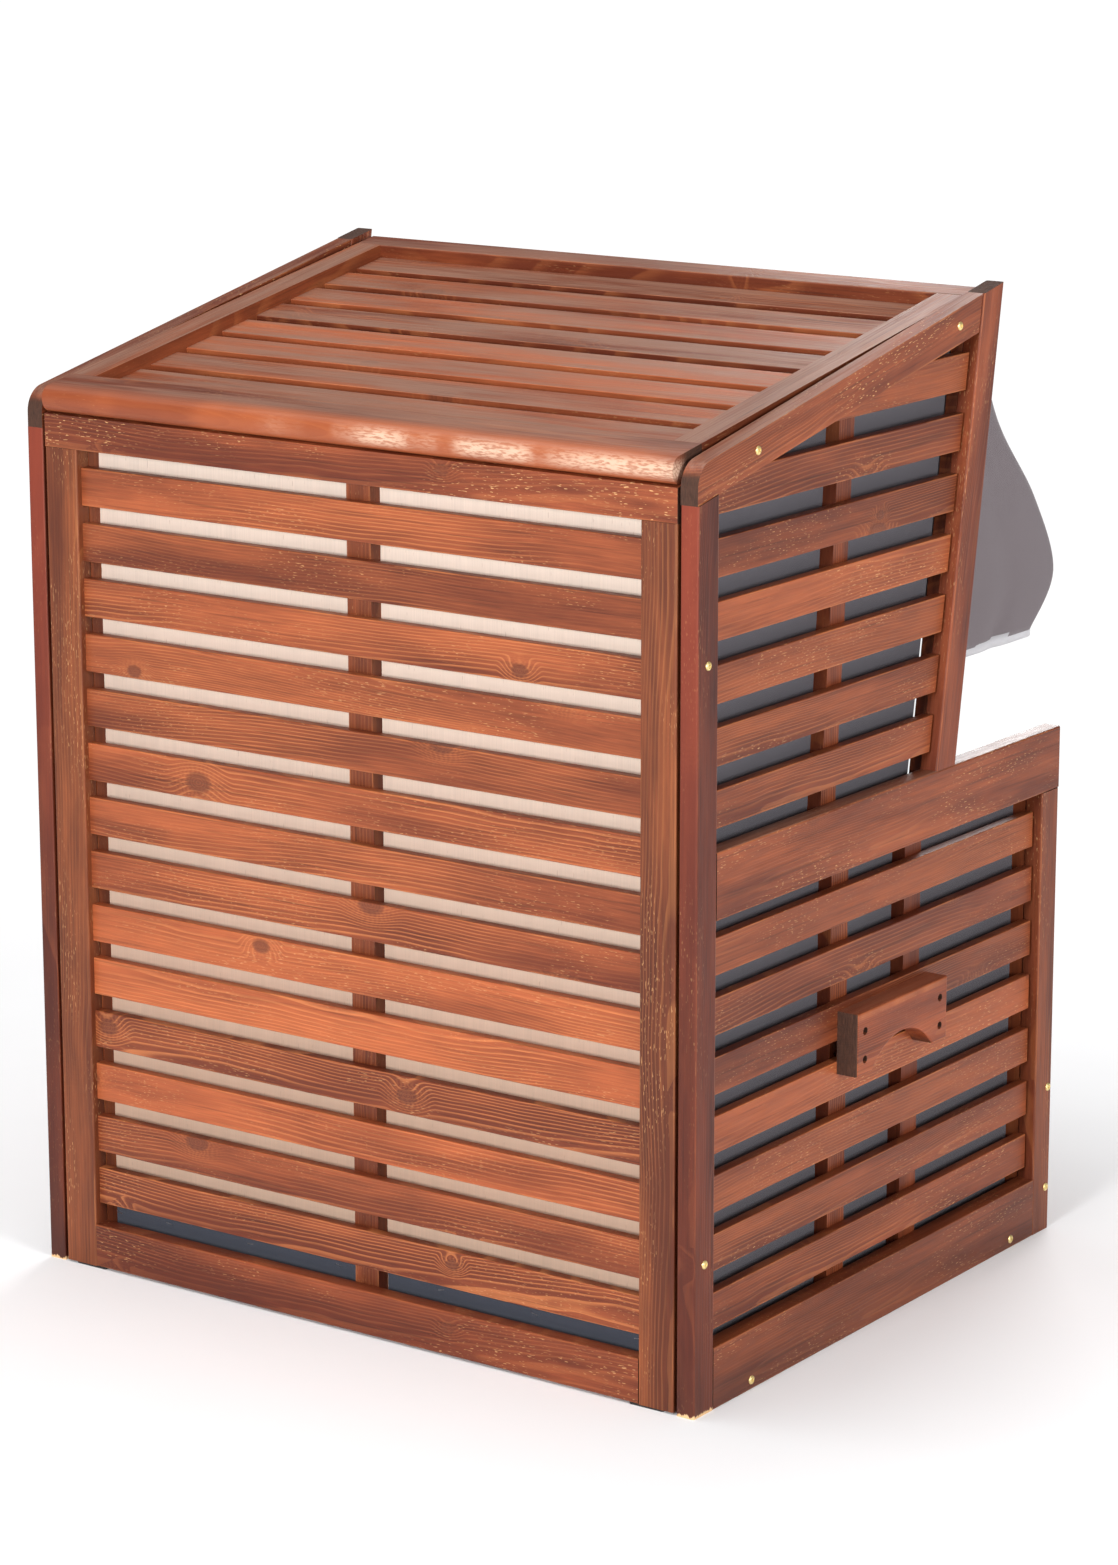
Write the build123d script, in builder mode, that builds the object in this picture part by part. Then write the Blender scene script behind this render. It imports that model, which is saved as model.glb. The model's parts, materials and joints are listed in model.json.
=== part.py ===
"""Two-seat roofed beach chair of stained pine slats, with pull-out footrests and a folding awning.

Millimetres, +Z up, front towards -Y. The origin is on the floor under the middle of the overall box.
Depths named in the tables below are measured forwards from the rear face of the chair.
"""

import os
from math import atan, cos, hypot, sin

from build123d import *

os.makedirs("parts", exist_ok=True)

# Overall
half_width = 600.0
base_depth = 1011.0
awning_reach = 1067.0
roof_overhang = 8.0
rear_y = (awning_reach + roof_overhang) / 2 - roof_overhang

# Stained pine stock
frame_thickness = 30.0
rail_thickness = 28.0
stile_width = 50.0
slat_height = 55.0
slat_thickness = 17.0
edge_round = 3.0
slat_round = 1.5
inner_x = half_width - frame_thickness
slat_outer_x = inner_x + slat_thickness

# Side panels: sloped hood over a box base
hood_slope = 0.2035
hood_rail_height = 53.6
rail_start_height = 1303.0
rail_nose_radius = 38.0
armrest_bottom = 716.0
armrest_top = 814.0
hood_stile_width = 54.0
hood_stile_lean = 0.1617
hood_stile_front = 694.0
bottom_rail_height = 92.0
hood_slat_count = 7
hood_slat_start = 842.0
hood_slat_pitch = 88.0
base_slat_count = 7
base_slat_start = 112.0
base_slat_pitch = 86.6
slat_end_gap = 6.0
side_batten_thickness = 22.0
side_batten_width = 46.0
base_batten_depths = (420.0, 625.0)
base_edge_batten_depth = 970.0
batten_floor_gap = 30.0
hood_batten_depth = 363.0
hood_batten_lean = 0.07
hood_batten_width = 40.0
hood_batten_lap = 20.0
hood_batten_head = 5.0
edge_batten_offset = 8.0
edge_batten_width = 16.0
lining_thickness = 8.0
lining_rear_gap = 62.0
lining_reach = 6.0
base_lining_bottom = 60.0
lining_x = inner_x - side_batten_thickness

# Carrying handles
handle_length = 254.0
handle_height = 95.0
handle_thickness = 35.0
handle_depth = 518.0
handle_bottom = 408.0
handle_arch_width = 171.0
handle_arch_height = 41.0
handle_screw_spacing = 212.0
handle_screw_heights = (431.0, 474.0)
handle_recess_radius = 6.0
handle_recess_depth = 12.0
handle_round = 3.0
handle_hole_radius = 2.3
handle_outer_x = slat_outer_x + handle_thickness

# Screws
screw_head_radius = 6.5
screw_head_thickness = 2.2
screw_shank_radius = 2.2
screw_hole_radius = 2.3
screw_length = 46.0
screw_hole_depth = 18.0
screw_slot_length = 7.0
screw_slot_width = 1.6
screw_slot_depth = 0.9
handle_screw_head_radius = 5.0
handle_screw_head_thickness = 3.0
handle_screw_length = 55.0
frame_screws_at = (
    ("rear_stile", 25.0, 1081.0),
    ("rear_stile", 25.0, 224.0),
    ("top_rail", 148.0, 1359.9),
    ("top_rail", 686.0, 1469.4),
    ("bottom_rail", 149.0, 14.0),
    ("bottom_rail", 892.0, 14.0),
    ("front_stile", 1000.0, 70.0),
    ("front_stile", 1000.0, 235.0),
)

# Back panel
back_half_width = 565.0
back_frame_thickness = 28.0
back_stile_width = 60.0
back_bottom = 3.0
back_bottom_rail_height = 68.0
back_rail_bottom = 1276.0
back_slat_count = 14
back_slat_height = 57.5
back_slat_start = 103.0
back_slat_pitch = 83.7
back_batten_thickness = 23.0
back_batten_width = 43.0
back_batten_bottom = 40.0
board_thickness = 8.0
board_half_width = 538.0
board_bottom = 45.0
board_top = 1300.0
board_depth = back_frame_thickness + back_batten_thickness
glide_width = 58.0
glide_centre = 518.0

# Roof frame, in its own sloping plane
roof_slope = 0.181
roof_start_height = 1366.5
roof_half_width = 562.0
roof_rail_width = 46.0
roof_thickness = 40.0
roof_rear_rail_front = 62.0
roof_front_rail_rear = 757.0
roof_front_rail_front = 802.0
roof_slat_drop = 20.0
roof_slat_thickness = 15.0
roof_slat_width = 64.0
roof_slat_pitch = 85.0
roof_slat_count = 8
bullnose_radius = 19.0
roof_angle = atan(roof_slope)
roof_half_inside = roof_half_width - roof_rail_width
roof_tail = bullnose_radius + (roof_overhang - bullnose_radius * (1 - sin(roof_angle))) / cos(roof_angle)

# Seat box
crossbar_height = 26.0
crossbar_width = 30.0
crossbar_depths = (149.0, 892.0)
front_frame_depth = 981.0
front_frame_gap = 10.0
front_rail_height = 38.0
front_post_top = 300.0
seat_top = 352.0
seat_board_thickness = 12.0
post_inner_x = 538.0
centre_post_half = 16.0
runner_top = 40.0
runner_width = 30.0
backrest_foot = 300.0
backrest_head = 75.0
backrest_head_height = 1240.0
backrest_thickness = 12.0
backrest_half_width = 534.0
backrest_slant = (backrest_foot - backrest_head) / (backrest_head_height - seat_top)
backrest_run = backrest_thickness * hypot(1, backrest_slant)

# Cushions
cushion_gap = 4.0
cushion_half_pair = 532.0
cushion_corner = 25.0
seat_cushion_top = 462.0
seat_cushion_rear = 318.0
seat_cushion_front = 985.0
back_cushion_thickness = 85.0
back_cushion_bottom = 466.0
back_cushion_top = 1225.0

# Footrests
slide_clearance = 0.3
footrest_inner_x = 24.5
footrest_outer_x = 534.0
footrest_rear = 448.0
footrest_board = 18.0
footrest_side_top = 236.0
footrest_top_board = 12.0
footrest_front = 1009.0
footrest_slat_thickness = 13.0
footrest_slat_height = 60.0
footrest_slat_count = 3
footrest_slat_start = 46.0
footrest_slat_pitch = 83.5
footrest_cushion_top = 292.0
pull_length = 150.0
pull_height = 32.0
pull_thickness = 22.0
pull_arch_width = 90.0
pull_arch_height = 16.0

# Awning: a bow of bent tube that swings on the hood stiles, and its cloth
cloth_thickness = 3.0
cloth_x = inner_x
bow_radius = 6.0
bow_x = 556.0
bow_bend = 45.0
pivot_depth = 712.0
pivot_height = 1000.0
bow_depth = 988.0
bow_height = 1166.0
eye_radius = 11.0
eye_thickness = 11.0
pin_radius = 4.0
pin_clearance = 0.1
flange_radius = 11.0
flange_thickness = 4.0
pin_head_radius = 9.0
pin_head_thickness = 4.0
awning_hem_height = 970.0
awning_stile_lap = 12.0
awning_start_depth = 808.0


def y_at(depth):
    return rear_y - depth


def hood_flank(height):
    """Depth of the hood stile's rear flank at a height."""
    return hood_stile_front - hood_stile_width + hood_stile_lean * (height - armrest_top)


def rail_underside(depth):
    return rail_start_height + hood_slope * depth


def lean_meets_rail(offset, rise):
    """Where a line in front of the stile's flank by offset meets one above the rail's underside by rise."""
    start = hood_flank(rail_start_height + rise) + offset
    depth = start / (1 - hood_stile_lean * hood_slope)
    return (y_at(depth), rail_underside(depth) + rise)


def flank_point(height, offset):
    return (y_at(hood_flank(height) + offset), height)


def roof_top(depth):
    return roof_start_height + roof_slope * depth


def roof_underside(depth):
    return roof_top(depth) - roof_thickness / cos(roof_angle)


def side_plane(side, near, far):
    """Plane square to X at the lower X of a slab between two distances from the middle."""
    return Plane.YZ.offset(min(side * near, side * far))


def save(part, label):
    part.label = label
    export_step(part, f"parts/{label}.step")


def screw_points(member, side, distance):
    """Centres of the screw holes along X through one member of a side panel."""
    return [(side * distance, y_at(d), z) for m, d, z in frame_screws_at if m == member]


def handle_screw_points(side, distance):
    """Centres of the four handle screws, at a distance from the middle of the chair."""
    depths = (handle_depth - handle_screw_spacing / 2, handle_depth + handle_screw_spacing / 2)
    return [(side * distance, y_at(d), z) for d in depths for z in handle_screw_heights]


sides = (("left", 1), ("right", -1))
along_x = (0, 90, 0)

# Side panel frames
for name, side in sides:
    with BuildPart() as rear_stile:
        with BuildSketch(side_plane(side, inner_x, half_width)):
            with BuildLine():
                Polyline(
                    (y_at(0), 0),
                    (y_at(stile_width), 0),
                    (y_at(stile_width), rail_underside(stile_width)),
                    (y_at(0), rail_underside(0)),
                    close=True,
                )
            make_face()
        extrude(amount=frame_thickness)
        fillet(rear_stile.edges().filter_by(Axis.Z), edge_round)
        with Locations(*screw_points("rear_stile", side, inner_x)):
            Cylinder(screw_hole_radius, 3 * frame_thickness, rotation=along_x, mode=Mode.SUBTRACT)
    save(rear_stile.part, f"{name}_rear_stile")

    with BuildPart() as top_rail:
        with BuildSketch(side_plane(side, inner_x, inner_x + rail_thickness)) as profile:
            with BuildLine():
                Polyline(
                    (y_at(0), rail_underside(0)),
                    lean_meets_rail(0, 0),
                    lean_meets_rail(0, hood_rail_height),
                    (y_at(0), rail_underside(0) + hood_rail_height),
                    close=True,
                )
            make_face()
            fillet(profile.vertices().group_by(Axis.X)[-1].sort_by(Axis.Y)[-1], rail_nose_radius)
        extrude(amount=rail_thickness)
        upper = top_rail.faces().filter_by(Axis.X).edges().group_by(Axis.Z)[-1]
        fillet(upper, edge_round)
        with Locations(*screw_points("top_rail", side, inner_x)):
            Cylinder(screw_hole_radius, 3 * frame_thickness, rotation=along_x, mode=Mode.SUBTRACT)
    save(top_rail.part, f"{name}_top_rail")

    with BuildPart() as hood_stile:
        with BuildSketch(side_plane(side, inner_x, half_width)):
            with BuildLine():
                Polyline(
                    flank_point(armrest_top, 0),
                    flank_point(armrest_top, hood_stile_width),
                    lean_meets_rail(hood_stile_width, hood_rail_height),
                    lean_meets_rail(0, hood_rail_height),
                    close=True,
                )
            make_face()
        extrude(amount=frame_thickness)
        long_edges = hood_stile.edges().filter_by(lambda e: e.length > armrest_bottom * 0.9)
        fillet(long_edges, edge_round)
    save(hood_stile.part, f"{name}_hood_stile")

    with BuildPart() as armrest:
        with BuildSketch(side_plane(side, inner_x, half_width)):
            with BuildLine():
                Polyline(
                    (y_at(stile_width), armrest_bottom),
                    (y_at(base_depth), armrest_bottom),
                    (y_at(base_depth), armrest_top),
                    (y_at(stile_width), armrest_top),
                    close=True,
                )
            make_face()
        extrude(amount=frame_thickness)
        fillet(armrest.edges().filter_by(Axis.Y), edge_round)
    save(armrest.part, f"{name}_armrest")

    with BuildPart() as front_stile:
        with Locations((side * (inner_x + frame_thickness / 2), y_at(base_depth - stile_width / 2), 0)):
            Box(frame_thickness, stile_width, armrest_bottom, align=(Align.CENTER, Align.CENTER, Align.MIN))
        fillet(front_stile.edges().filter_by(Axis.Z), edge_round)
        with Locations(*screw_points("front_stile", side, inner_x)):
            Cylinder(screw_hole_radius, 3 * frame_thickness, rotation=along_x, mode=Mode.SUBTRACT)
    save(front_stile.part, f"{name}_front_stile")

    with BuildPart() as bottom_rail:
        with Locations((side * (inner_x + frame_thickness / 2), y_at(base_depth / 2), 0)):
            Box(
                frame_thickness,
                base_depth - 2 * stile_width,
                bottom_rail_height,
                align=(Align.CENTER, Align.CENTER, Align.MIN),
            )
        fillet(bottom_rail.edges().filter_by(Axis.Y), slat_round)
        with Locations(*screw_points("bottom_rail", side, inner_x)):
            Cylinder(screw_hole_radius, 3 * frame_thickness, rotation=along_x, mode=Mode.SUBTRACT)
    save(bottom_rail.part, f"{name}_bottom_rail")

# Side panel slats, battens and linings
for name, side in sides:
    slat_x = side * (inner_x + slat_thickness / 2)
    with BuildPart() as hood_slats:
        for row in range(hood_slat_count):
            height = hood_slat_start + row * hood_slat_pitch
            with Locations((slat_x, y_at(base_depth / 2), height)):
                Box(
                    slat_thickness,
                    base_depth,
                    slat_height,
                    align=(Align.CENTER, Align.CENTER, Align.MIN),
                )
        fillet(hood_slats.edges().filter_by(Axis.Y), slat_round)
        with BuildSketch(side_plane(side, inner_x, slat_outer_x)):
            with BuildLine():
                Polyline(
                    (y_at(stile_width), armrest_top),
                    flank_point(armrest_top, -slat_end_gap),
                    lean_meets_rail(-slat_end_gap, 0),
                    (y_at(stile_width), rail_underside(stile_width)),
                    close=True,
                )
            make_face()
        extrude(amount=slat_thickness, mode=Mode.INTERSECT)
    save(hood_slats.part, f"{name}_hood_slats")

    base_slat_length = base_depth - 2 * stile_width - slat_end_gap
    with BuildPart() as base_slats:
        for row in range(base_slat_count):
            height = base_slat_start + row * base_slat_pitch
            with Locations((slat_x, y_at(stile_width + base_slat_length / 2), height)):
                Box(
                    slat_thickness,
                    base_slat_length,
                    slat_height,
                    align=(Align.CENTER, Align.CENTER, Align.MIN),
                )
        fillet(base_slats.edges().filter_by(Axis.Y), slat_round)
        with Locations(*handle_screw_points(side, inner_x)):
            Cylinder(handle_hole_radius, 3 * slat_thickness, rotation=along_x, mode=Mode.SUBTRACT)
    save(base_slats.part, f"{name}_base_slats")

    with BuildPart() as battens:
        batten_x = side * (inner_x - side_batten_thickness / 2)
        for depth in base_batten_depths:
            with Locations((batten_x, y_at(depth), batten_floor_gap)):
                Box(
                    side_batten_thickness,
                    side_batten_width,
                    armrest_top - batten_floor_gap - hood_batten_lap,
                    align=(Align.CENTER, Align.CENTER, Align.MIN),
                )
        with Locations((batten_x, y_at(base_edge_batten_depth), batten_floor_gap)):
            Box(
                side_batten_thickness,
                edge_batten_width,
                armrest_top - batten_floor_gap - hood_batten_lap,
                align=(Align.CENTER, Align.CENTER, Align.MIN),
            )
        with BuildSketch(side_plane(side, lining_x, inner_x)):
            low = armrest_top - hood_batten_lap + 1
            high = rail_underside(hood_batten_depth) + hood_batten_head
            lean = hood_batten_lean * (high - low)
            with BuildLine():
                Polyline(
                    (y_at(hood_batten_depth), low),
                    (y_at(hood_batten_depth + hood_batten_width), low),
                    (y_at(hood_batten_depth + hood_batten_width + lean), high),
                    (y_at(hood_batten_depth + lean), high),
                    close=True,
                )
            make_face()
            with BuildLine():
                edge_end = edge_batten_offset + edge_batten_width
                Polyline(
                    flank_point(low, edge_batten_offset),
                    flank_point(low, edge_end),
                    lean_meets_rail(edge_end, hood_batten_head),
                    lean_meets_rail(edge_batten_offset, hood_batten_head),
                    close=True,
                )
            make_face()
        extrude(amount=side_batten_thickness)
        with Locations(*handle_screw_points(side, inner_x)):
            Cylinder(handle_hole_radius, 3 * slat_thickness, rotation=along_x, mode=Mode.SUBTRACT)
    save(battens.part, f"{name}_battens")

    with BuildPart() as hood_lining:
        with BuildSketch(side_plane(side, lining_x - lining_thickness, lining_x)):
            with BuildLine():
                Polyline(
                    (y_at(lining_rear_gap), armrest_bottom),
                    flank_point(armrest_bottom, lining_reach),
                    lean_meets_rail(lining_reach, 0),
                    (y_at(lining_rear_gap), rail_underside(lining_rear_gap)),
                    close=True,
                )
            make_face()
        extrude(amount=lining_thickness)
    save(hood_lining.part, f"{name}_hood_lining")

    with BuildPart() as base_lining:
        with Locations((side * (lining_x - lining_thickness / 2), y_at(lining_rear_gap), base_lining_bottom)):
            Box(
                lining_thickness,
                front_frame_depth - lining_rear_gap - front_frame_gap,
                armrest_bottom - base_lining_bottom,
                align=(Align.CENTER, Align.MAX, Align.MIN),
            )
    save(base_lining.part, f"{name}_base_lining")

# Carrying handles: a block with a finger arch cut in its lower edge
for name, side in sides:
    with BuildPart() as handle:
        with BuildSketch(side_plane(side, slat_outer_x, handle_outer_x)) as profile:
            with Locations((y_at(handle_depth), handle_bottom)):
                Rectangle(handle_length, handle_height, align=(Align.CENTER, Align.MIN))
            with BuildLine():
                left_foot = (y_at(handle_depth) - handle_arch_width / 2, handle_bottom)
                right_foot = (y_at(handle_depth) + handle_arch_width / 2, handle_bottom)
                ThreePointArc(left_foot, (y_at(handle_depth), handle_bottom + handle_arch_height), right_foot)
                Line(right_foot, left_foot)
            make_face(mode=Mode.SUBTRACT)
        extrude(amount=handle_thickness)
        outer_face = handle.faces().sort_by(Axis.X)[-1 if side > 0 else 0]
        fillet(outer_face.edges(), handle_round)
        with Locations(*handle_screw_points(side, slat_outer_x)):
            Cylinder(handle_hole_radius, 3 * handle_thickness, rotation=along_x, mode=Mode.SUBTRACT)
        with Locations(*handle_screw_points(side, handle_outer_x)):
            Cylinder(handle_recess_radius, 2 * handle_recess_depth, rotation=along_x, mode=Mode.SUBTRACT)
    save(handle.part, f"{name}_handle")

# Brass screws through the side frames, and the sunk screws of the handles
with BuildPart() as frame_screws:
    for name, side in sides:
        for member, depth, height in frame_screws_at:
            seat = half_width if member != "top_rail" else inner_x + rail_thickness
            centre = (y_at(depth), height)
            with Locations((side * (seat + screw_head_thickness / 2), *centre)):
                Cylinder(screw_head_radius, screw_head_thickness, rotation=along_x)
            with Locations((side * (seat - screw_length / 2), *centre)):
                Cylinder(screw_shank_radius, screw_length, rotation=along_x)
            with Locations((side * (seat + screw_head_thickness), *centre)):
                Box(2 * screw_slot_depth, screw_slot_length, screw_slot_width, mode=Mode.SUBTRACT)
                Box(2 * screw_slot_depth, screw_slot_width, screw_slot_length, mode=Mode.SUBTRACT)
save(frame_screws.part, "frame_screws")

with BuildPart() as handle_screws:
    handle_seat = handle_outer_x - handle_recess_depth
    for name, side in sides:
        with Locations(*handle_screw_points(side, handle_seat + handle_screw_head_thickness / 2)):
            Cylinder(handle_screw_head_radius, handle_screw_head_thickness, rotation=along_x)
        with Locations(*handle_screw_points(side, handle_seat - handle_screw_length / 2)):
            Cylinder(screw_shank_radius, handle_screw_length, rotation=along_x)
        with Locations(*handle_screw_points(side, handle_seat + handle_screw_head_thickness)):
            Box(2 * screw_slot_depth, screw_slot_length, screw_slot_width, mode=Mode.SUBTRACT)
            Box(2 * screw_slot_depth, screw_slot_width, screw_slot_length, mode=Mode.SUBTRACT)
save(handle_screws.part, "handle_screws")

# Back panel
with BuildPart() as back_top_rail:
    with BuildSketch(Plane.YZ.offset(-back_half_width)):
        with BuildLine():
            Polyline(
                (y_at(0), back_rail_bottom),
                (y_at(back_frame_thickness), back_rail_bottom),
                (y_at(back_frame_thickness), roof_underside(back_frame_thickness)),
                (y_at(0), roof_underside(0)),
                close=True,
            )
        make_face()
    extrude(amount=2 * back_half_width)
    fillet(back_top_rail.edges().filter_by(Axis.X).group_by(Axis.Z)[0], slat_round)
save(back_top_rail.part, "back_top_rail")

back_middle = y_at(back_frame_thickness / 2)
with BuildPart() as back_stiles:
    with Locations(
        (back_half_width - back_stile_width / 2, back_middle, back_bottom),
        (back_stile_width / 2 - back_half_width, back_middle, back_bottom),
    ):
        Box(
            back_stile_width,
            back_frame_thickness,
            back_rail_bottom - back_bottom,
            align=(Align.CENTER, Align.CENTER, Align.MIN),
        )
    fillet(back_stiles.edges().filter_by(Axis.Z), edge_round)
    for name, side in sides:
        with Locations(*screw_points("rear_stile", side, back_half_width)):
            Cylinder(screw_hole_radius, 2 * screw_hole_depth, rotation=along_x, mode=Mode.SUBTRACT)
save(back_stiles.part, "back_stiles")

back_inside = back_half_width - back_stile_width
with BuildPart() as back_bottom_rail:
    with Locations((0, back_middle, back_bottom)):
        Box(
            2 * back_inside,
            back_frame_thickness,
            back_bottom_rail_height,
            align=(Align.CENTER, Align.CENTER, Align.MIN),
        )
    fillet(back_bottom_rail.edges().filter_by(Axis.X), edge_round)
save(back_bottom_rail.part, "back_bottom_rail")

with BuildPart() as back_slats:
    for row in range(back_slat_count):
        height = back_slat_start + row * back_slat_pitch
        with Locations((0, y_at(back_frame_thickness), height)):
            Box(
                2 * back_inside,
                slat_thickness,
                back_slat_height,
                align=(Align.CENTER, Align.MIN, Align.MIN),
            )
    fillet(back_slats.edges().filter_by(Axis.X), slat_round)
save(back_slats.part, "back_slats")

with BuildPart() as back_battens:
    end_batten = back_inside + back_batten_width / 2
    batten_columns = (-end_batten, 0, end_batten)
    with Locations(*[(x, y_at(back_frame_thickness), back_batten_bottom) for x in batten_columns]):
        Box(
            back_batten_width,
            back_batten_thickness,
            back_rail_bottom - back_batten_bottom,
            align=(Align.CENTER, Align.MAX, Align.MIN),
        )
save(back_battens.part, "back_battens")

with BuildPart() as back_board:
    with Locations((0, y_at(board_depth), board_bottom)):
        Box(
            2 * board_half_width,
            board_thickness,
            board_top - board_bottom,
            align=(Align.CENTER, Align.MAX, Align.MIN),
        )
save(back_board.part, "back_board")

with BuildPart() as glides:
    with Locations((glide_centre, back_middle, 0), (-glide_centre, back_middle, 0)):
        Box(
            glide_width,
            back_frame_thickness - 2,
            back_bottom,
            align=(Align.CENTER, Align.CENTER, Align.MIN),
        )
    fillet(glides.edges().filter_by(Axis.Z), edge_round)
save(glides.part, "glides")

# Roof frame, drawn in a plane that rises towards the front
roof_plane = Plane(
    origin=(0, y_at(0), roof_start_height), x_dir=(1, 0, 0), z_dir=(0, sin(roof_angle), cos(roof_angle))
)


def along(depth):
    """Distance up the roof plane from the rear face, for a depth."""
    return depth / cos(roof_angle)


with BuildPart() as roof_rear_rail:
    with BuildSketch(roof_plane):
        with Locations((0, (roof_tail - along(roof_rear_rail_front)) / 2)):
            Rectangle(2 * roof_half_width, roof_tail + along(roof_rear_rail_front))
    extrude(amount=-roof_thickness)
    rear_edges = roof_rear_rail.faces().sort_by(Axis.Y)[-1].edges().filter_by(Axis.X)
    fillet(rear_edges, bullnose_radius)
save(roof_rear_rail.part, "roof_rear_rail")

with BuildPart() as roof_front_rail:
    with BuildSketch(roof_plane):
        with Locations((0, -(along(roof_front_rail_rear) + along(roof_front_rail_front)) / 2)):
            Rectangle(2 * roof_half_width, along(roof_front_rail_front - roof_front_rail_rear))
    extrude(amount=-roof_thickness)
    fillet(roof_front_rail.edges().filter_by(Axis.X), edge_round)
save(roof_front_rail.part, "roof_front_rail")

rail_middle = -(along(roof_rear_rail_front) + along(roof_front_rail_rear)) / 2
rail_length = along(roof_front_rail_rear - roof_rear_rail_front)
with BuildPart() as roof_side_rails:
    with BuildSketch(roof_plane):
        with Locations(
            (roof_half_width - roof_rail_width / 2, rail_middle),
            (roof_rail_width / 2 - roof_half_width, rail_middle),
        ):
            Rectangle(roof_rail_width, rail_length)
    extrude(amount=-roof_thickness)
    for name, side in sides:
        with Locations(*screw_points("top_rail", side, roof_half_width)):
            Cylinder(screw_hole_radius, 2 * screw_hole_depth, rotation=along_x, mode=Mode.SUBTRACT)
save(roof_side_rails.part, "roof_side_rails")

with BuildPart() as roof_slats:
    with BuildSketch(roof_plane.offset(-roof_slat_drop)):
        for row in range(roof_slat_count):
            front = roof_front_rail_rear - row * roof_slat_pitch
            with Locations((0, -along(front - roof_slat_width / 2))):
                Rectangle(2 * roof_half_inside, along(roof_slat_width))
    extrude(amount=-roof_slat_thickness)
    fillet(roof_slats.edges().filter_by(Axis.X), slat_round)
save(roof_slats.part, "roof_slats")

with BuildPart() as roof_lining:
    with BuildSketch(roof_plane.offset(-roof_slat_drop - roof_slat_thickness)):
        with Locations((0, rail_middle)):
            Rectangle(2 * roof_half_inside, rail_length)
    extrude(amount=-(roof_thickness - roof_slat_drop - roof_slat_thickness))
save(roof_lining.part, "roof_lining")

# Floor bars and runners
with BuildPart() as floor_crossbars:
    for depth in crossbar_depths:
        with Locations((0, y_at(depth), 0)):
            Box(2 * inner_x, crossbar_width, crossbar_height, align=(Align.CENTER, Align.CENTER, Align.MIN))
    for name, side in sides:
        with Locations(*screw_points("bottom_rail", side, inner_x)):
            Cylinder(screw_hole_radius, 2 * screw_hole_depth, rotation=along_x, mode=Mode.SUBTRACT)
save(floor_crossbars.part, "floor_crossbars")

with BuildPart() as footrest_runners:
    runner_rear = crossbar_depths[0] - crossbar_width / 2
    for x in (footrest_inner_x, footrest_outer_x - footrest_board):
        for side in (1, -1):
            with Locations((side * (x + footrest_board / 2), y_at(runner_rear), crossbar_height)):
                Box(
                    runner_width,
                    front_frame_depth - runner_rear,
                    runner_top - crossbar_height,
                    align=(Align.CENTER, Align.MAX, Align.MIN),
                )
save(footrest_runners.part, "footrest_runners")

# Front frame of the seat box
with BuildPart() as front_bottom_rail:
    with Locations((0, y_at(front_frame_depth), 0)):
        Box(
            2 * inner_x,
            base_depth - front_frame_depth,
            front_rail_height,
            align=(Align.CENTER, Align.MAX, Align.MIN),
        )
    fillet(front_bottom_rail.edges().filter_by(Axis.X), slat_round)
save(front_bottom_rail.part, "front_bottom_rail")

with BuildPart() as front_posts:
    end_post = (inner_x + post_inner_x) / 2
    end_post_width = inner_x - post_inner_x
    posts = ((-end_post, end_post_width), (0, 2 * centre_post_half), (end_post, end_post_width))
    for x, width in posts:
        with Locations((x, y_at(front_frame_depth), front_rail_height)):
            Box(
                width,
                base_depth - front_frame_depth,
                front_post_top - front_rail_height,
                align=(Align.CENTER, Align.MAX, Align.MIN),
            )
    for name, side in sides:
        with Locations(*screw_points("front_stile", side, inner_x)):
            Cylinder(screw_hole_radius, 2 * screw_hole_depth, rotation=along_x, mode=Mode.SUBTRACT)
save(front_posts.part, "front_posts")

with BuildPart() as front_top_rail:
    with Locations((0, y_at(front_frame_depth), front_post_top)):
        Box(
            2 * inner_x,
            base_depth - front_frame_depth,
            seat_top - front_post_top,
            align=(Align.CENTER, Align.MAX, Align.MIN),
        )
    fillet(front_top_rail.edges().filter_by(Axis.X).group_by(Axis.Y)[0], edge_round)
save(front_top_rail.part, "front_top_rail")

# Seat board, and the backrest board that leans on the back board
with BuildPart() as seat_board:
    with Locations((0, y_at(board_depth + board_thickness), seat_top - seat_board_thickness)):
        Box(
            2 * board_half_width,
            front_frame_depth - board_depth - board_thickness,
            seat_board_thickness,
            align=(Align.CENTER, Align.MAX, Align.MIN),
        )
save(seat_board.part, "seat_board")


def backrest_front(height):
    """Depth of the backrest board's front face at a height."""
    return backrest_foot + backrest_run - backrest_slant * (height - seat_top)


with BuildPart() as backrest_board:
    with BuildSketch(Plane.YZ.offset(-backrest_half_width)):
        with BuildLine():
            Polyline(
                (y_at(backrest_foot), seat_top),
                (y_at(backrest_front(seat_top)), seat_top),
                (y_at(backrest_front(backrest_head_height)), backrest_head_height),
                (y_at(backrest_head), backrest_head_height),
                close=True,
            )
        make_face()
    extrude(amount=2 * backrest_half_width)
save(backrest_board.part, "backrest_board")

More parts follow.
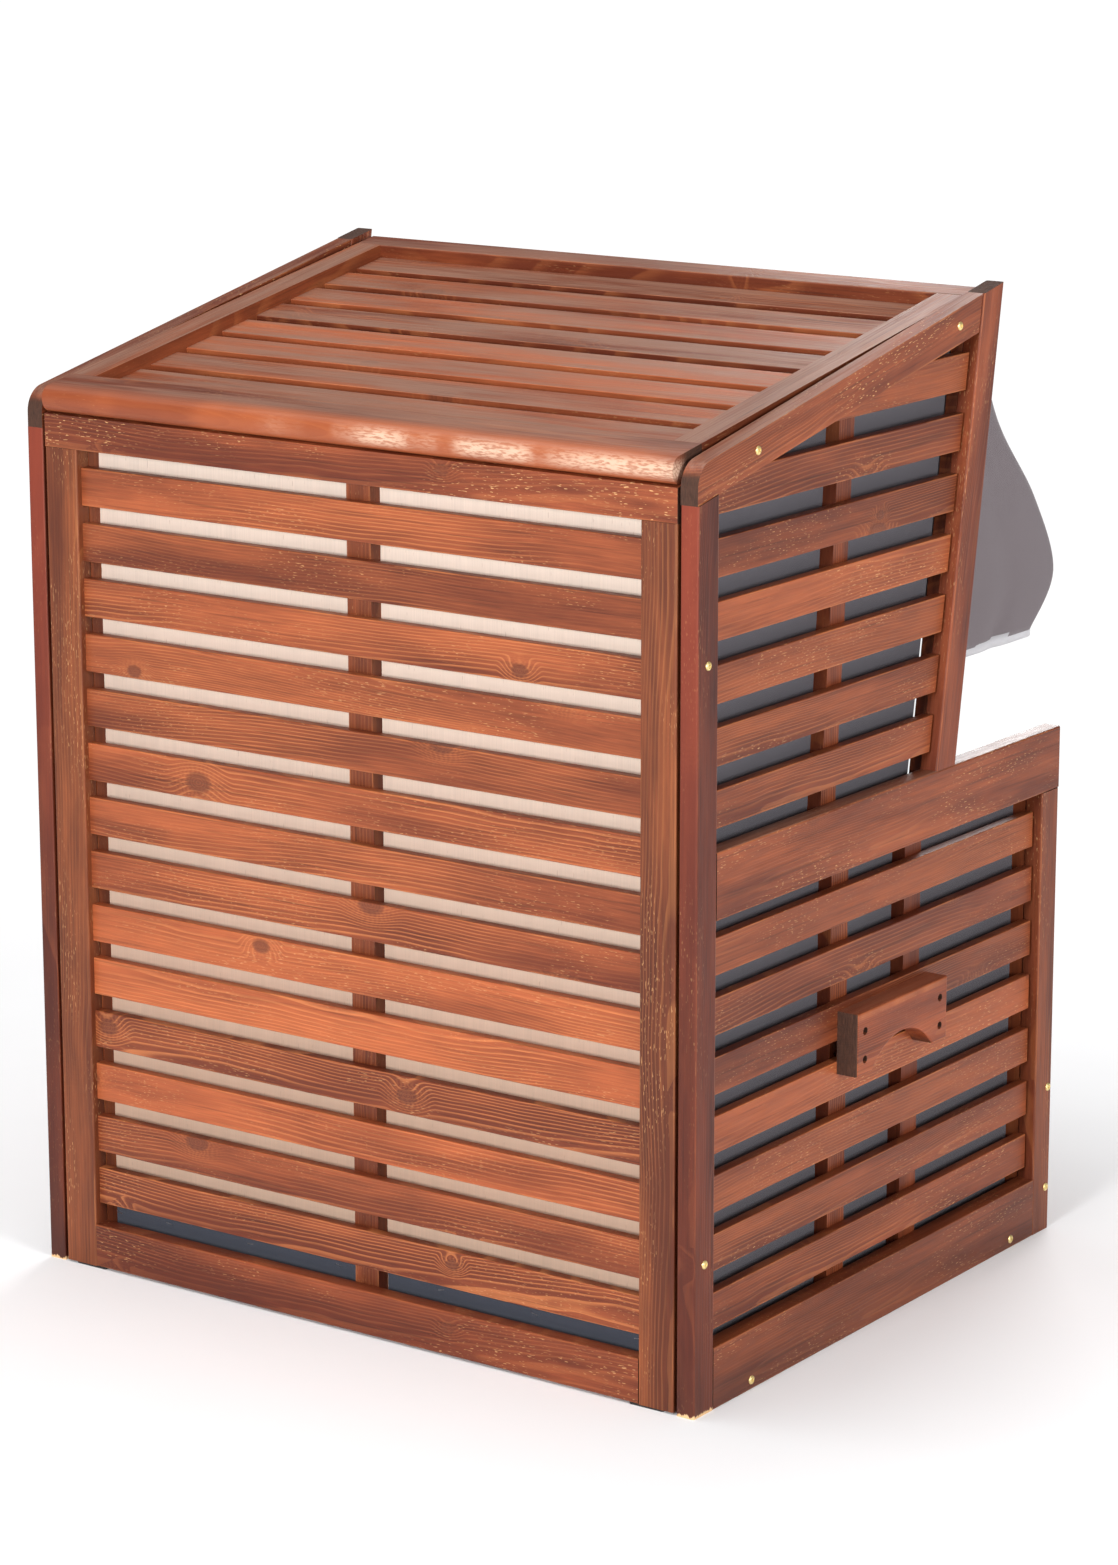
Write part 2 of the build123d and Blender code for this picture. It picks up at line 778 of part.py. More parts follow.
# Cushions
cushion_width = cushion_half_pair - cushion_gap / 2
for name, side in sides:
    cushion_x = side * (cushion_gap + cushion_half_pair) / 2
    with BuildPart() as seat_cushion:
        with Locations((cushion_x, y_at(seat_cushion_rear), seat_top)):
            Box(
                cushion_width,
                seat_cushion_front - seat_cushion_rear,
                seat_cushion_top - seat_top,
                align=(Align.CENTER, Align.MAX, Align.MIN),
            )
        fillet(seat_cushion.edges().filter_by(Axis.Z), cushion_corner)
    save(seat_cushion.part, f"{name}_seat_cushion")

    with BuildPart() as back_cushion:
        with BuildSketch(Plane.YZ.offset(cushion_x - cushion_width / 2)):
            with BuildLine():
                Polyline(
                    (y_at(backrest_front(back_cushion_bottom)), back_cushion_bottom),
                    (y_at(backrest_front(back_cushion_bottom) + back_cushion_thickness), back_cushion_bottom),
                    (y_at(backrest_front(back_cushion_top) + back_cushion_thickness), back_cushion_top),
                    (y_at(backrest_front(back_cushion_top)), back_cushion_top),
                    close=True,
                )
            make_face()
        extrude(amount=cushion_width)
    save(back_cushion.part, f"{name}_back_cushion")

# Footrests: open-bottomed boxes that slide out of the seat box on the runners
for name, side in sides:
    footrest_middle = side * (footrest_inner_x + footrest_outer_x) / 2
    footrest_width = footrest_outer_x - footrest_inner_x
    slat_rear = footrest_front - footrest_slat_thickness
    with BuildPart() as footrest_frame:
        floor = runner_top + slide_clearance
        for x in (footrest_inner_x, footrest_outer_x - footrest_board):
            with Locations((side * (x + footrest_board / 2), y_at(footrest_rear), floor)):
                Box(
                    footrest_board,
                    slat_rear - footrest_rear,
                    footrest_side_top - floor,
                    align=(Align.CENTER, Align.MAX, Align.MIN),
                )
        with Locations((footrest_middle, y_at(footrest_rear), floor)):
            Box(
                footrest_width - 2 * footrest_board,
                footrest_board,
                footrest_side_top - floor,
                align=(Align.CENTER, Align.MAX, Align.MIN),
            )
        with Locations((footrest_middle, y_at(footrest_rear), footrest_side_top)):
            Box(
                footrest_width,
                slat_rear - footrest_rear,
                footrest_top_board,
                align=(Align.CENTER, Align.MAX, Align.MIN),
            )
    save(footrest_frame.part, f"{name}_footrest_frame")

    with BuildPart() as footrest_slats:
        for row in range(footrest_slat_count):
            height = footrest_slat_start + row * footrest_slat_pitch
            with Locations((footrest_middle, y_at(slat_rear), height)):
                Box(
                    footrest_width,
                    footrest_slat_thickness,
                    footrest_slat_height,
                    align=(Align.CENTER, Align.MAX, Align.MIN),
                )
        fillet(footrest_slats.edges().filter_by(Axis.X), slat_round)
    save(footrest_slats.part, f"{name}_footrest_slats")

    with BuildPart() as footrest_cushion:
        cushion_bottom = footrest_side_top + footrest_top_board
        with Locations((footrest_middle, y_at(footrest_rear + cushion_gap), cushion_bottom)):
            Box(
                footrest_width - 2 * cushion_gap,
                slat_rear - footrest_rear - 2 * cushion_gap,
                footrest_cushion_top - footrest_side_top - footrest_top_board,
                align=(Align.CENTER, Align.MAX, Align.MIN),
            )
        fillet(footrest_cushion.edges().filter_by(Axis.Z), cushion_corner)
    save(footrest_cushion.part, f"{name}_footrest_cushion")

    with BuildPart() as footrest_pull:
        pull_centre = footrest_slat_start + 2 * footrest_slat_pitch + footrest_slat_height / 2
        with BuildSketch(Plane.XZ.offset(-y_at(footrest_front))):
            with Locations((footrest_middle, pull_centre)):
                Rectangle(pull_length, pull_height)
            with BuildLine():
                pull_bottom = pull_centre - pull_height / 2
                left_foot = (footrest_middle - pull_arch_width / 2, pull_bottom)
                right_foot = (footrest_middle + pull_arch_width / 2, pull_bottom)
                ThreePointArc(left_foot, (footrest_middle, pull_bottom + pull_arch_height), right_foot)
                Line(right_foot, left_foot)
            make_face(mode=Mode.SUBTRACT)
        extrude(amount=pull_thickness)
        fillet(footrest_pull.faces().sort_by(Axis.Y)[0].edges(), edge_round)
    save(footrest_pull.part, f"{name}_footrest_pull")

# Awning bow: a bent tube with a flattened eye at each end
with BuildPart() as awning_bow:
    with BuildLine():
        left_pivot = (bow_x, y_at(pivot_depth), pivot_height)
        left_corner = (bow_x, y_at(bow_depth), bow_height)
        right_corner = (-bow_x, y_at(bow_depth), bow_height)
        right_pivot = (-bow_x, y_at(pivot_depth), pivot_height)
        bow_path = FilletPolyline(left_pivot, left_corner, right_corner, right_pivot, radius=bow_bend)
    with BuildSketch(Plane(origin=bow_path @ 0, z_dir=bow_path % 0)):
        Circle(bow_radius)
    sweep(path=bow_path)
    with Locations(left_pivot, right_pivot):
        Cylinder(eye_radius, eye_thickness, rotation=along_x)
        Cylinder(pin_radius + pin_clearance, 4 * eye_thickness, rotation=along_x, mode=Mode.SUBTRACT)
save(awning_bow.part, "awning_bow")

with BuildPart() as awning_pivots:
    pin_end = bow_x - bow_radius - pin_clearance
    flange_x = cloth_x - cloth_thickness - flange_thickness / 2
    for side in (1, -1):
        pivot = (y_at(pivot_depth), pivot_height)
        with Locations((side * (cloth_x + pin_end) / 2, *pivot)):
            Cylinder(pin_radius, cloth_x - pin_end, rotation=along_x)
        with Locations((side * flange_x, *pivot)):
            Cylinder(flange_radius, flange_thickness, rotation=along_x)
        with Locations((side * (pin_end - pin_head_thickness / 2), *pivot)):
            Cylinder(pin_head_radius, pin_head_thickness, rotation=along_x)
save(awning_pivots.part, "awning_pivots")

# Awning cloth: hung from the roof's front rail, over the bow, with a valance and two side flaps
cloth_head = roof_underside(awning_start_depth) - 1
lap_head = roof_underside(awning_start_depth) - 4
lap_low = flank_point(awning_hem_height, hood_stile_width - awning_stile_lap)
lap_high = flank_point(lap_head, hood_stile_width - awning_stile_lap)
hem_front = y_at(1000)
with BuildPart() as awning_cloth:
    with BuildSketch(Plane.YZ.offset(-cloth_x)) as outline:
        with BuildLine():
            Polyline(
                (y_at(awning_start_depth), cloth_head),
                (y_at(841), 1369),
                (y_at(892), 1283),
                (y_at(1004), 1169),
                (y_at(1055), 1092),
                (y_at(awning_reach), 1052),
                (y_at(1034), 1012),
                (hem_front, awning_hem_height),
                lap_low,
                lap_high,
                close=True,
            )
        make_face()
    extrude(amount=2 * cloth_x)
    with BuildSketch(Plane.YZ.offset(cloth_thickness - cloth_x)):
        add(outline.sketch_local)
        offset(amount=-cloth_thickness, kind=Kind.INTERSECTION, mode=Mode.REPLACE)
        with BuildLine():
            wall = 2 * cloth_thickness
            Polyline(
                (hem_front + wall, awning_hem_height - 1),
                (lap_low[0] + 1, awning_hem_height - 1),
                (lap_high[0] + 1, lap_high[1] - wall),
                (lap_high[0] - wall, lap_high[1] - wall),
                (lap_low[0] - wall, awning_hem_height + wall),
                (hem_front + wall, awning_hem_height + wall),
                close=True,
            )
        make_face()
    extrude(amount=2 * (cloth_x - cloth_thickness), mode=Mode.SUBTRACT)
    with Locations((0, y_at(pivot_depth), pivot_height)):
        Cylinder(pin_radius + pin_clearance, 2 * half_width, rotation=along_x, mode=Mode.SUBTRACT)
save(awning_cloth.part, "awning_cloth")
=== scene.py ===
"""Finishes, soft parts, screws and stage for a slatted pine beach chair with a roof."""

import json
from math import atan, cos, exp, hypot, pi, radians, sin

import bmesh
import bpy
from mathutils import Matrix, Vector
from mathutils.bvhtree import BVHTree

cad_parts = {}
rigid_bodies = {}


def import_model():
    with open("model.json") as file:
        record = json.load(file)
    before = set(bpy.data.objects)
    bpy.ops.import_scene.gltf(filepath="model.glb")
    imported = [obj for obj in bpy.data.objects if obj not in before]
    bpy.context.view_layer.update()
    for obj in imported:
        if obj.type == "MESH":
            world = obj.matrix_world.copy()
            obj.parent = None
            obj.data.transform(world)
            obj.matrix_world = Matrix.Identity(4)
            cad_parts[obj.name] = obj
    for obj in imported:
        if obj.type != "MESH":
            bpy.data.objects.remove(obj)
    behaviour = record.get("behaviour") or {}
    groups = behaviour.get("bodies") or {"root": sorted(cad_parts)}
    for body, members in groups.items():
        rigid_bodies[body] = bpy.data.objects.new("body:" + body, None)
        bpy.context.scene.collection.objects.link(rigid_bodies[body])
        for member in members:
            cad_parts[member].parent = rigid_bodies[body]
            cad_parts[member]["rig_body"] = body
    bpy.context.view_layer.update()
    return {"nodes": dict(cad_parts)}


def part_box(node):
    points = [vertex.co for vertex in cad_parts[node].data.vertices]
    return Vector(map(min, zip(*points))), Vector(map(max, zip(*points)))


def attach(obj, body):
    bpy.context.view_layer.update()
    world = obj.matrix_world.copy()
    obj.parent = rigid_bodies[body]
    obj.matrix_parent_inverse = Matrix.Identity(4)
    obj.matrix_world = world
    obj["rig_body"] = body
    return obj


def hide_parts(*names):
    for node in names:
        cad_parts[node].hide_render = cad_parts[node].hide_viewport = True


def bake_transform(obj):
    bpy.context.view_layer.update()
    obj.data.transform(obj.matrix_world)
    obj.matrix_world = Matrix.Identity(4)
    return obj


bl_info = {
    "name": "Slatted Beach Chair",
    "version": (1, 0, 0),
    "blender": (4, 5, 0),
    "location": "View3D > Sidebar > Beach Chair",
    "description": "Finishes, cloth, screws and stage for a slatted pine beach chair",
    "category": "Object",
}

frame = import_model()
nodes = frame["nodes"]
scene = bpy.context.scene

REAR_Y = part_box("right_rear_stile")[1].y
SIDES = (("left", 1), ("right", -1))
ROOF_TURN = atan(0.181)
RAIL_TURN = atan(0.2035)
STILE_TURN = -atan(0.1617)
BACKREST_TURN = atan((300 - 75) / (1240 - 352))


def srgb(red, green, blue):
    """A display colour from 0 to 255 as a linear colour."""
    parts = [c / 255 for c in (red, green, blue)]
    parts = [c / 12.92 if c <= 0.04045 else ((c + 0.055) / 1.055) ** 2.4 for c in parts]
    return (*parts, 1.0)


def at(x, depth, z):
    """A point from millimetres: across, forwards of the rear face, and up."""
    return Vector((x / 1000, REAR_Y - depth / 1000, z / 1000))


# Settings


class WoodSettings(bpy.types.PropertyGroup):
    """Stain and grain of the pine boards."""

    light: bpy.props.FloatVectorProperty(
        name="Light stain", description="Stain where the wood takes little of it",
        subtype="COLOR", size=4, min=0, max=1, default=srgb(164, 84, 47))
    deep: bpy.props.FloatVectorProperty(
        name="Deep stain", description="Stain where the wood soaks it up",
        subtype="COLOR", size=4, min=0, max=1, default=srgb(100, 42, 21))
    streak: bpy.props.FloatVectorProperty(
        name="Grain line", description="Colour of the hard grain lines",
        subtype="COLOR", size=4, min=0, max=1, default=srgb(198, 120, 70))
    # Painted sheen: this grey on upper faces is partly weathering and partly a painted reflection of the light
    # overhead.
    grey: bpy.props.FloatVectorProperty(
        name="Weathered and sheen", description="Colour of upper faces greyed by weather and by painted sheen of the light overhead",
        subtype="COLOR", size=4, min=0, max=1, default=srgb(146, 108, 90))
    relief: bpy.props.FloatProperty(
        name="Grain relief", description="Depth of the grain's relief",
        default=0.0004, min=0, max=0.003, subtype="DISTANCE", unit="LENGTH")


class ClothSettings(bpy.types.PropertyGroup):
    """Colours and cushion sizes of the fabric parts."""

    awning: bpy.props.FloatVectorProperty(
        name="Awning", description="Colour of the awning cloth",
        subtype="COLOR", size=4, min=0, max=1, default=srgb(121, 110, 114))
    cushion: bpy.props.FloatVectorProperty(
        name="Cushion", description="Colour of the cushion covers",
        subtype="COLOR", size=4, min=0, max=1, default=srgb(132, 126, 128))
    lining: bpy.props.FloatVectorProperty(
        name="Lining", description="Colour of the lining cloth",
        subtype="COLOR", size=4, min=0, max=1, default=srgb(104, 101, 108))
    pressure: bpy.props.FloatProperty(
        name="Cushion pressure", description="Pressure that fills the cushions", default=4.0, min=0, max=20)
    swell: bpy.props.FloatProperty(
        name="Cushion swell", description="Most that a point of a cushion moves as it fills",
        default=0.022, min=0, max=0.04, subtype="DISTANCE", unit="LENGTH")
    piping: bpy.props.FloatProperty(
        name="Piping radius", description="Radius of the piping round each cushion",
        default=0.0032, min=0.001, max=0.008, subtype="DISTANCE", unit="LENGTH")
    sag: bpy.props.FloatProperty(
        name="Awning sag", description="How far the awning hangs in between its head and the bow",
        default=0.026, min=0, max=0.06, subtype="DISTANCE", unit="LENGTH")
    lift: bpy.props.FloatProperty(
        name="Awning lift", description="Gap between the bow and the awning's outline",
        default=0.008, min=0.002, max=0.02, subtype="DISTANCE", unit="LENGTH")
    belly: bpy.props.FloatProperty(
        name="Awning belly", description="Height over the hem at which the awning reaches furthest",
        default=0.08, min=0.03, max=0.15, subtype="DISTANCE", unit="LENGTH")


class ScrewSettings(bpy.types.PropertyGroup):
    """Sizes of the screw heads."""

    radius: bpy.props.FloatProperty(
        name="Frame screw radius", description="Radius of a brass screw head",
        default=0.0065, min=0.002, max=0.01, subtype="DISTANCE", unit="LENGTH")
    height: bpy.props.FloatProperty(
        name="Frame screw height", description="How far a brass head stands proud",
        default=0.0027, min=0.001, max=0.005, subtype="DISTANCE", unit="LENGTH")
    handle_radius: bpy.props.FloatProperty(
        name="Handle screw radius", description="Radius of a sunk screw head",
        default=0.005, min=0.002, max=0.008, subtype="DISTANCE", unit="LENGTH")


class StageSettings(bpy.types.PropertyGroup):
    """Camera and light."""

    azimuth: bpy.props.FloatProperty(
        name="Azimuth", description="Where the camera stands round the chair",
        default=radians(215.30), subtype="ANGLE", unit="ROTATION")
    elevation: bpy.props.FloatProperty(
        name="Elevation", description="Height of the camera over the aim",
        default=radians(13.56), subtype="ANGLE", unit="ROTATION")
    roll: bpy.props.FloatProperty(
        name="Roll", description="Tilt of the camera", default=radians(
            -0.07), subtype="ANGLE", unit="ROTATION")
    distance: bpy.props.FloatProperty(
        name="Distance", description="Distance from the camera to its aim",
        default=7.0, min=1, subtype="DISTANCE", unit="LENGTH")
    aim: bpy.props.FloatVectorProperty(
        name="Aim", description="Point the camera looks at", subtype="TRANSLATION", size=3,
        default=(0.0026, 0.0044, 0.7365))
    lens: bpy.props.FloatProperty(
        name="Lens", description="Focal length", default=104.9, min=20, max=300, unit="CAMERA")
    key: bpy.props.FloatProperty(name="Key light", description="Power of the key light", default=310, min=0,
        unit="POWER")
    fill: bpy.props.FloatProperty(name="Fill light", description="Power of the fill light", default=215,
        min=0, unit="POWER")
    ceiling: bpy.props.FloatProperty(name="Ceiling light", description="Power of the light overhead",
        default=170, min=0, unit="POWER")
    sky: bpy.props.FloatProperty(name="Room light", description="Strength of the white room", default=0.17,
        min=0)


# Node tools


class Nodes:
    """Adds nodes to a tree and joins them."""

    def __init__(self, tree):
        self.tree = tree

    def add(self, kind, inputs=None, **settings):
        node = self.tree.nodes.new(kind)
        for key, value in settings.items():
            setattr(node, key, value)
        for key, value in (inputs or {}).items():
            if isinstance(value, bpy.types.NodeSocket):
                self.tree.links.new(value, node.inputs[key])
            else:
                node.inputs[key].default_value = value
        return node

    def maths(self, operation, a, b=0.0, c=0.0):
        return self.add("ShaderNodeMath", {0: a, 1: b, 2: c}, operation=operation).outputs[0]

    def plus(self, a, b):
        return self.maths("ADD", a, b)

    def minus(self, a, b):
        return self.maths("SUBTRACT", a, b)

    def times(self, a, b):
        return self.maths("MULTIPLY", a, b)

    def over(self, a, b):
        return self.maths("DIVIDE", a, b)

    def fit(self, value, scale, start):
        """The value times the scale, plus the start."""
        return self.maths("MULTIPLY_ADD", value, scale, start)

    def size(self, value):
        return self.maths("ABSOLUTE", value)

    def scaled(self, vector, by):
        return self.add("ShaderNodeVectorMath", {0: vector, 1: by}, operation="MULTIPLY").outputs[0]

    def moved(self, vector, by):
        return self.add("ShaderNodeVectorMath", {0: vector, 1: by}, operation="ADD").outputs[0]

    def split(self, vector):
        return self.add("ShaderNodeSeparateXYZ", {0: vector}).outputs

    def join(self, x, y, z):
        return self.add("ShaderNodeCombineXYZ", {0: x, 1: y, 2: z}).outputs[0]

    def noise(self, vector, by=(1, 1, 1), detail=2.0, rough=0.5):
        spread = self.scaled(vector, by)
        node = self.add("ShaderNodeTexNoise",
            {"Vector": spread, "Scale": 1.0, "Detail": detail, "Roughness": rough})
        return node.outputs[0]

    def step(self, value, low, high):
        """0 below low and 1 above high, smooth in between; turned over if low is above high."""
        if low > high:
            return self.minus(1.0, self.step(value, high, low))
        node = self.add("ShaderNodeMapRange", {0: value, 1: low, 2: high, 3: 0.0, 4: 1.0},
            interpolation_type="SMOOTHSTEP")
        return node.outputs[0]

    def mix(self, factor, a, b, blend="MIX"):
        node = self.add("ShaderNodeMix", {0: factor, 6: a, 7: b}, data_type="RGBA", blend_type=blend)
        return node.outputs[2]

    def tint(self, colour, value):
        """The colour made lighter or darker by a value near 1."""
        grey = self.join(value, value, value)
        return self.mix(1.0, colour, grey, "MULTIPLY")


def new_group(name, kind, inputs, outputs):
    """A node group with named sockets: its nodes, its inputs by name, and its output node."""
    tree = bpy.data.node_groups.new(name, kind)
    for label, socket, default in inputs:
        made = tree.interface.new_socket(name=label, in_out="INPUT", socket_type=socket)
        if default is not None:
            made.default_value = default
    for label, socket in outputs:
        tree.interface.new_socket(name=label, in_out="OUTPUT", socket_type=socket)
    net = Nodes(tree)
    return net, net.add("NodeGroupInput").outputs, net.add("NodeGroupOutput").inputs


VECTOR, FLOAT, COLOUR = "NodeSocketVector", "NodeSocketFloat", "NodeSocketColor"


def rows_group():
    """Finds which board of a row a point lies on, and where on that board."""
    net, given, out = new_group(
        "Board rows", "ShaderNodeTree",
        [("Point", VECTOR, None), ("Start", FLOAT, 0.0), ("Pitch", FLOAT, 1.0), ("Half Width", FLOAT, 0.03)],
        [("Place", VECTOR), ("Board", FLOAT)])
    along, across, through = net.split(given["Point"])[:3]
    steps = net.over(net.minus(across, given["Start"]), given["Pitch"])
    index = net.maths("FLOOR", net.plus(steps, 0.04))
    centre = net.plus(given["Start"], net.times(index, given["Pitch"]))
    centre = net.plus(centre, given["Half Width"])
    side = net.times(net.maths("SIGN", through), 23.0)
    net.tree.links.new(net.join(along, net.minus(across, centre), through), out["Place"])
    net.tree.links.new(net.plus(index, side), out["Board"])
    return net.tree


def pine_group():
    """Stained pine: rings cut by the board, fibres, blotches, knots, flecks, rubbed edges and end grain."""
    net, given, out = new_group(
        "Stained pine", "ShaderNodeTree",
        [("Place", VECTOR, None), ("Facing", VECTOR, None), ("Board", FLOAT, 0.0),
            ("Half Width", FLOAT, 0.03),
         ("Light", COLOUR, (1, 1, 1, 1)), ("Deep", COLOUR, (0, 0, 0, 1)), ("Streak", COLOUR, (1, 1, 1, 1)),
         ("Lines", FLOAT, 0.5), ("Flecks", FLOAT, 0.5), ("Knots", FLOAT, 1.0), ("Spread", FLOAT, 0.25)],
        [("Color", COLOUR), ("Roughness", FLOAT), ("Height", FLOAT)])
    place = given["Place"]
    chance = net.add("ShaderNodeTexWhiteNoise", {"W": given["Board"]}, noise_dimensions="1D").outputs[1]
    first, second, third = net.split(chance)[:3]
    shifted = net.moved(place, net.scaled(chance, (7.0, 0.9, 0.7)))
    along, across, through = net.split(place)[:3]
    facing = net.split(given["Facing"])
    end = net.step(net.size(facing[0]), 0.6, 0.85)
    flank = net.size(facing[1])

    # Knots: a few per board, with the grain flowing round them
    flat = net.split(net.scaled(shifted, (3.6, 5.5, 0.0)))
    spot = net.join(flat[0], net.plus(flat[1], net.times(given["Board"], 3.17)), 0.0)
    cells = net.add("ShaderNodeTexVoronoi", {"Vector": spot, "Scale": 1.0}, voronoi_dimensions="2D")
    cell = net.split(cells.outputs["Color"])
    real = net.times(net.step(cell[0], 0.44, 0.48), given["Knots"])
    size = net.fit(cell[1], 0.045, 0.03)
    reach = net.over(cells.outputs["Distance"], size)
    near = net.times(net.step(reach, 3.4, 0.6), real)
    core = net.times(net.step(reach, 1.05, 0.7), real)
    rim = net.times(net.step(reach, 1.35, 1.0), net.step(reach, 0.55, 1.0))
    rim = net.times(rim, real)

    # Rings round a pith that wanders beside the board
    sway = net.noise(shifted, (1.3, 0.3, 0.3), 1.0)
    sway_more = net.noise(shifted, (5.0, 9.0, 9.0), 2.0)
    beside = net.fit(net.step(second, 0.49, 0.51), 2.0, -1.0)
    pith_y = net.times(beside, net.fit(first, 0.06, 0.018))
    pith_y = net.plus(pith_y, net.times(net.minus(sway, 0.5), 0.09))
    pith_z = net.fit(third, 0.05, 0.01)
    pith_z = net.plus(pith_z, net.times(along, 0.008))
    apart_y = net.minus(across, pith_y)
    apart_z = net.plus(net.times(net.maths("FRACT", net.times(through, 3.1)), 0.02), pith_z)
    ring = net.maths("SQRT", net.plus(net.times(apart_y, apart_y), net.times(apart_z, apart_z)))
    ring = net.plus(ring, net.times(near, 0.013))
    ring = net.plus(ring, net.times(sway_more, 0.007))
    width = net.fit(first, 0.0032, 0.0026)
    turn = net.maths("FRACT", net.over(ring, width))
    line = net.times(net.step(turn, 0.5, 0.86), net.step(turn, 1.0, 0.92))
    strong = net.step(net.noise(shifted, (1.8, 6.0, 6.0), 1.0), 0.38, 0.62)
    line = net.times(line, net.fit(strong, 0.85, 0.15))

    # Fibres, stain blotches and flecks
    fibre = net.noise(shifted, (7.0, 420.0, 420.0), 2.0, 0.6)
    broad = net.noise(shifted, (2.2, 17.0, 17.0), 4.0, 0.6)
    fine = net.noise(shifted, (20.0, 120.0, 120.0), 3.0, 0.65)
    dark = net.step(net.noise(shifted, (4.0, 260.0, 260.0), 2.0, 0.55), 0.56, 0.74)
    soak = net.step(net.fit(net.minus(second, 0.5), given["Spread"], broad), 0.24, 0.72)
    colour = net.mix(soak, given["Deep"], given["Light"])
    colour = net.mix(net.times(line, given["Lines"]), colour, given["Streak"])
    shade = net.fit(fibre, 0.6, 0.72)
    shade = net.times(shade, net.fit(fine, 0.4, 0.8))
    shade = net.times(shade, net.fit(dark, -0.34, 1.0))
    shade = net.times(shade, net.fit(net.minus(third, 0.5), given["Spread"], 1.0))
    colour = net.tint(colour, shade)
    dash = net.step(net.noise(shifted, (120.0, 760.0, 760.0), 0.0), 0.715, 0.77)
    patch = net.step(net.noise(shifted, (5.0, 16.0, 16.0), 1.0), 0.44, 0.62)
    dash = net.times(net.times(dash, patch), given["Flecks"])
    colour = net.mix(dash, colour, srgb(228, 176, 120))

    # Knots over the stain, with pale ripples across the grain beside them
    ripple = net.maths("SINE", net.plus(net.times(along, 780.0), net.times(fine, 22.0)))
    ripple = net.times(net.fit(ripple, 0.5, 0.5), near)
    colour = net.mix(net.times(ripple, 0.22), colour, given["Streak"])
    heart = net.maths("FRACT", net.times(reach, 4.0))
    knot_colour = net.mix(heart, srgb(84, 38, 24), srgb(124, 64, 40))
    colour = net.mix(net.times(core, 0.75), colour, knot_colour)
    colour = net.mix(net.times(rim, 0.5), colour, srgb(86, 40, 26))

    # Rubbed long edges, painted shade on the narrow long faces, and dark, sawn ends
    edge = net.minus(given["Half Width"], net.size(across))
    rub = net.times(net.step(edge, 0.0035, 0.0005), net.minus(1.0, net.step(flank, 0.5, 0.95)))
    rub = net.times(rub, net.step(net.noise(shifted, (9.0, 2.0, 2.0), 3.0), 0.42, 0.66))
    colour = net.mix(net.times(rub, 0.55), colour, given["Streak"])
    # Painted shade: the narrow long faces of each board are darkened towards the deep stain.
    colour = net.mix(net.times(net.step(flank, 0.6, 0.95), 0.22), colour, given["Deep"])
    saw = net.noise(place, (40.0, 90.0, 700.0), 2.0)
    end_colour = net.mix(saw, srgb(32, 18, 13), srgb(92, 58, 42))
    colour = net.mix(end, colour, end_colour)

    rough = net.fit(fine, 0.22, 0.36)
    rough = net.plus(rough, net.times(end, 0.3))
    height = net.plus(net.times(fibre, 0.5), net.times(line, -0.35))
    height = net.plus(height, net.times(saw, net.times(end, 2.0)))
    height = net.plus(height, net.times(core, 0.6))
    net.tree.links.new(colour, out["Color"])
    net.tree.links.new(rough, out["Roughness"])
    net.tree.links.new(height, out["Height"])
    return net.tree


def weather_and_sheen_group():
    """Greyed wood on faces that look up, uneven along the board: partly weathering, partly painted sheen of the
    light overhead.
    """
    net, given, out = new_group(
        "Weathering and sheen", "ShaderNodeTree",
        [("Color", COLOUR, (1, 1, 1, 1)), ("Place", VECTOR, None), ("Board", FLOAT, 0.0), ("Up", FLOAT, 0.0),
         ("Amount", FLOAT, 0.5), ("Grey", COLOUR, (0.5, 0.5, 0.5, 1))],
        [("Color", COLOUR), ("Mask", FLOAT)])
    shifted = net.moved(given["Place"], net.join(net.times(given["Board"], 1.7), 0.0, 0.0))
    grey_patches = net.noise(shifted, (2.4, 26.0, 26.0), 4.0, 0.6)
    streak = net.noise(shifted, (6.0, 300.0, 300.0), 2.0, 0.6)
    grey_patches = net.step(net.fit(net.minus(streak, 0.5), 0.35, grey_patches), 0.3, 0.66)
    # Painted sheen and weathering: the grey goes only on faces that look up, towards the light overhead.
    up = net.step(given["Up"], 0.45, 0.9)
    mask = net.times(net.times(grey_patches, up), given["Amount"])
    grey = net.tint(given["Grey"], net.fit(streak, 0.7, 0.65))
    crack = net.step(net.noise(shifted, (3.0, 170.0, 170.0), 3.0), 0.66, 0.72)
    grey = net.mix(net.times(crack, 0.6), grey, srgb(58, 38, 32))
    net.tree.links.new(net.mix(mask, given["Color"], grey), out["Color"])
    net.tree.links.new(mask, out["Mask"])
    return net.tree


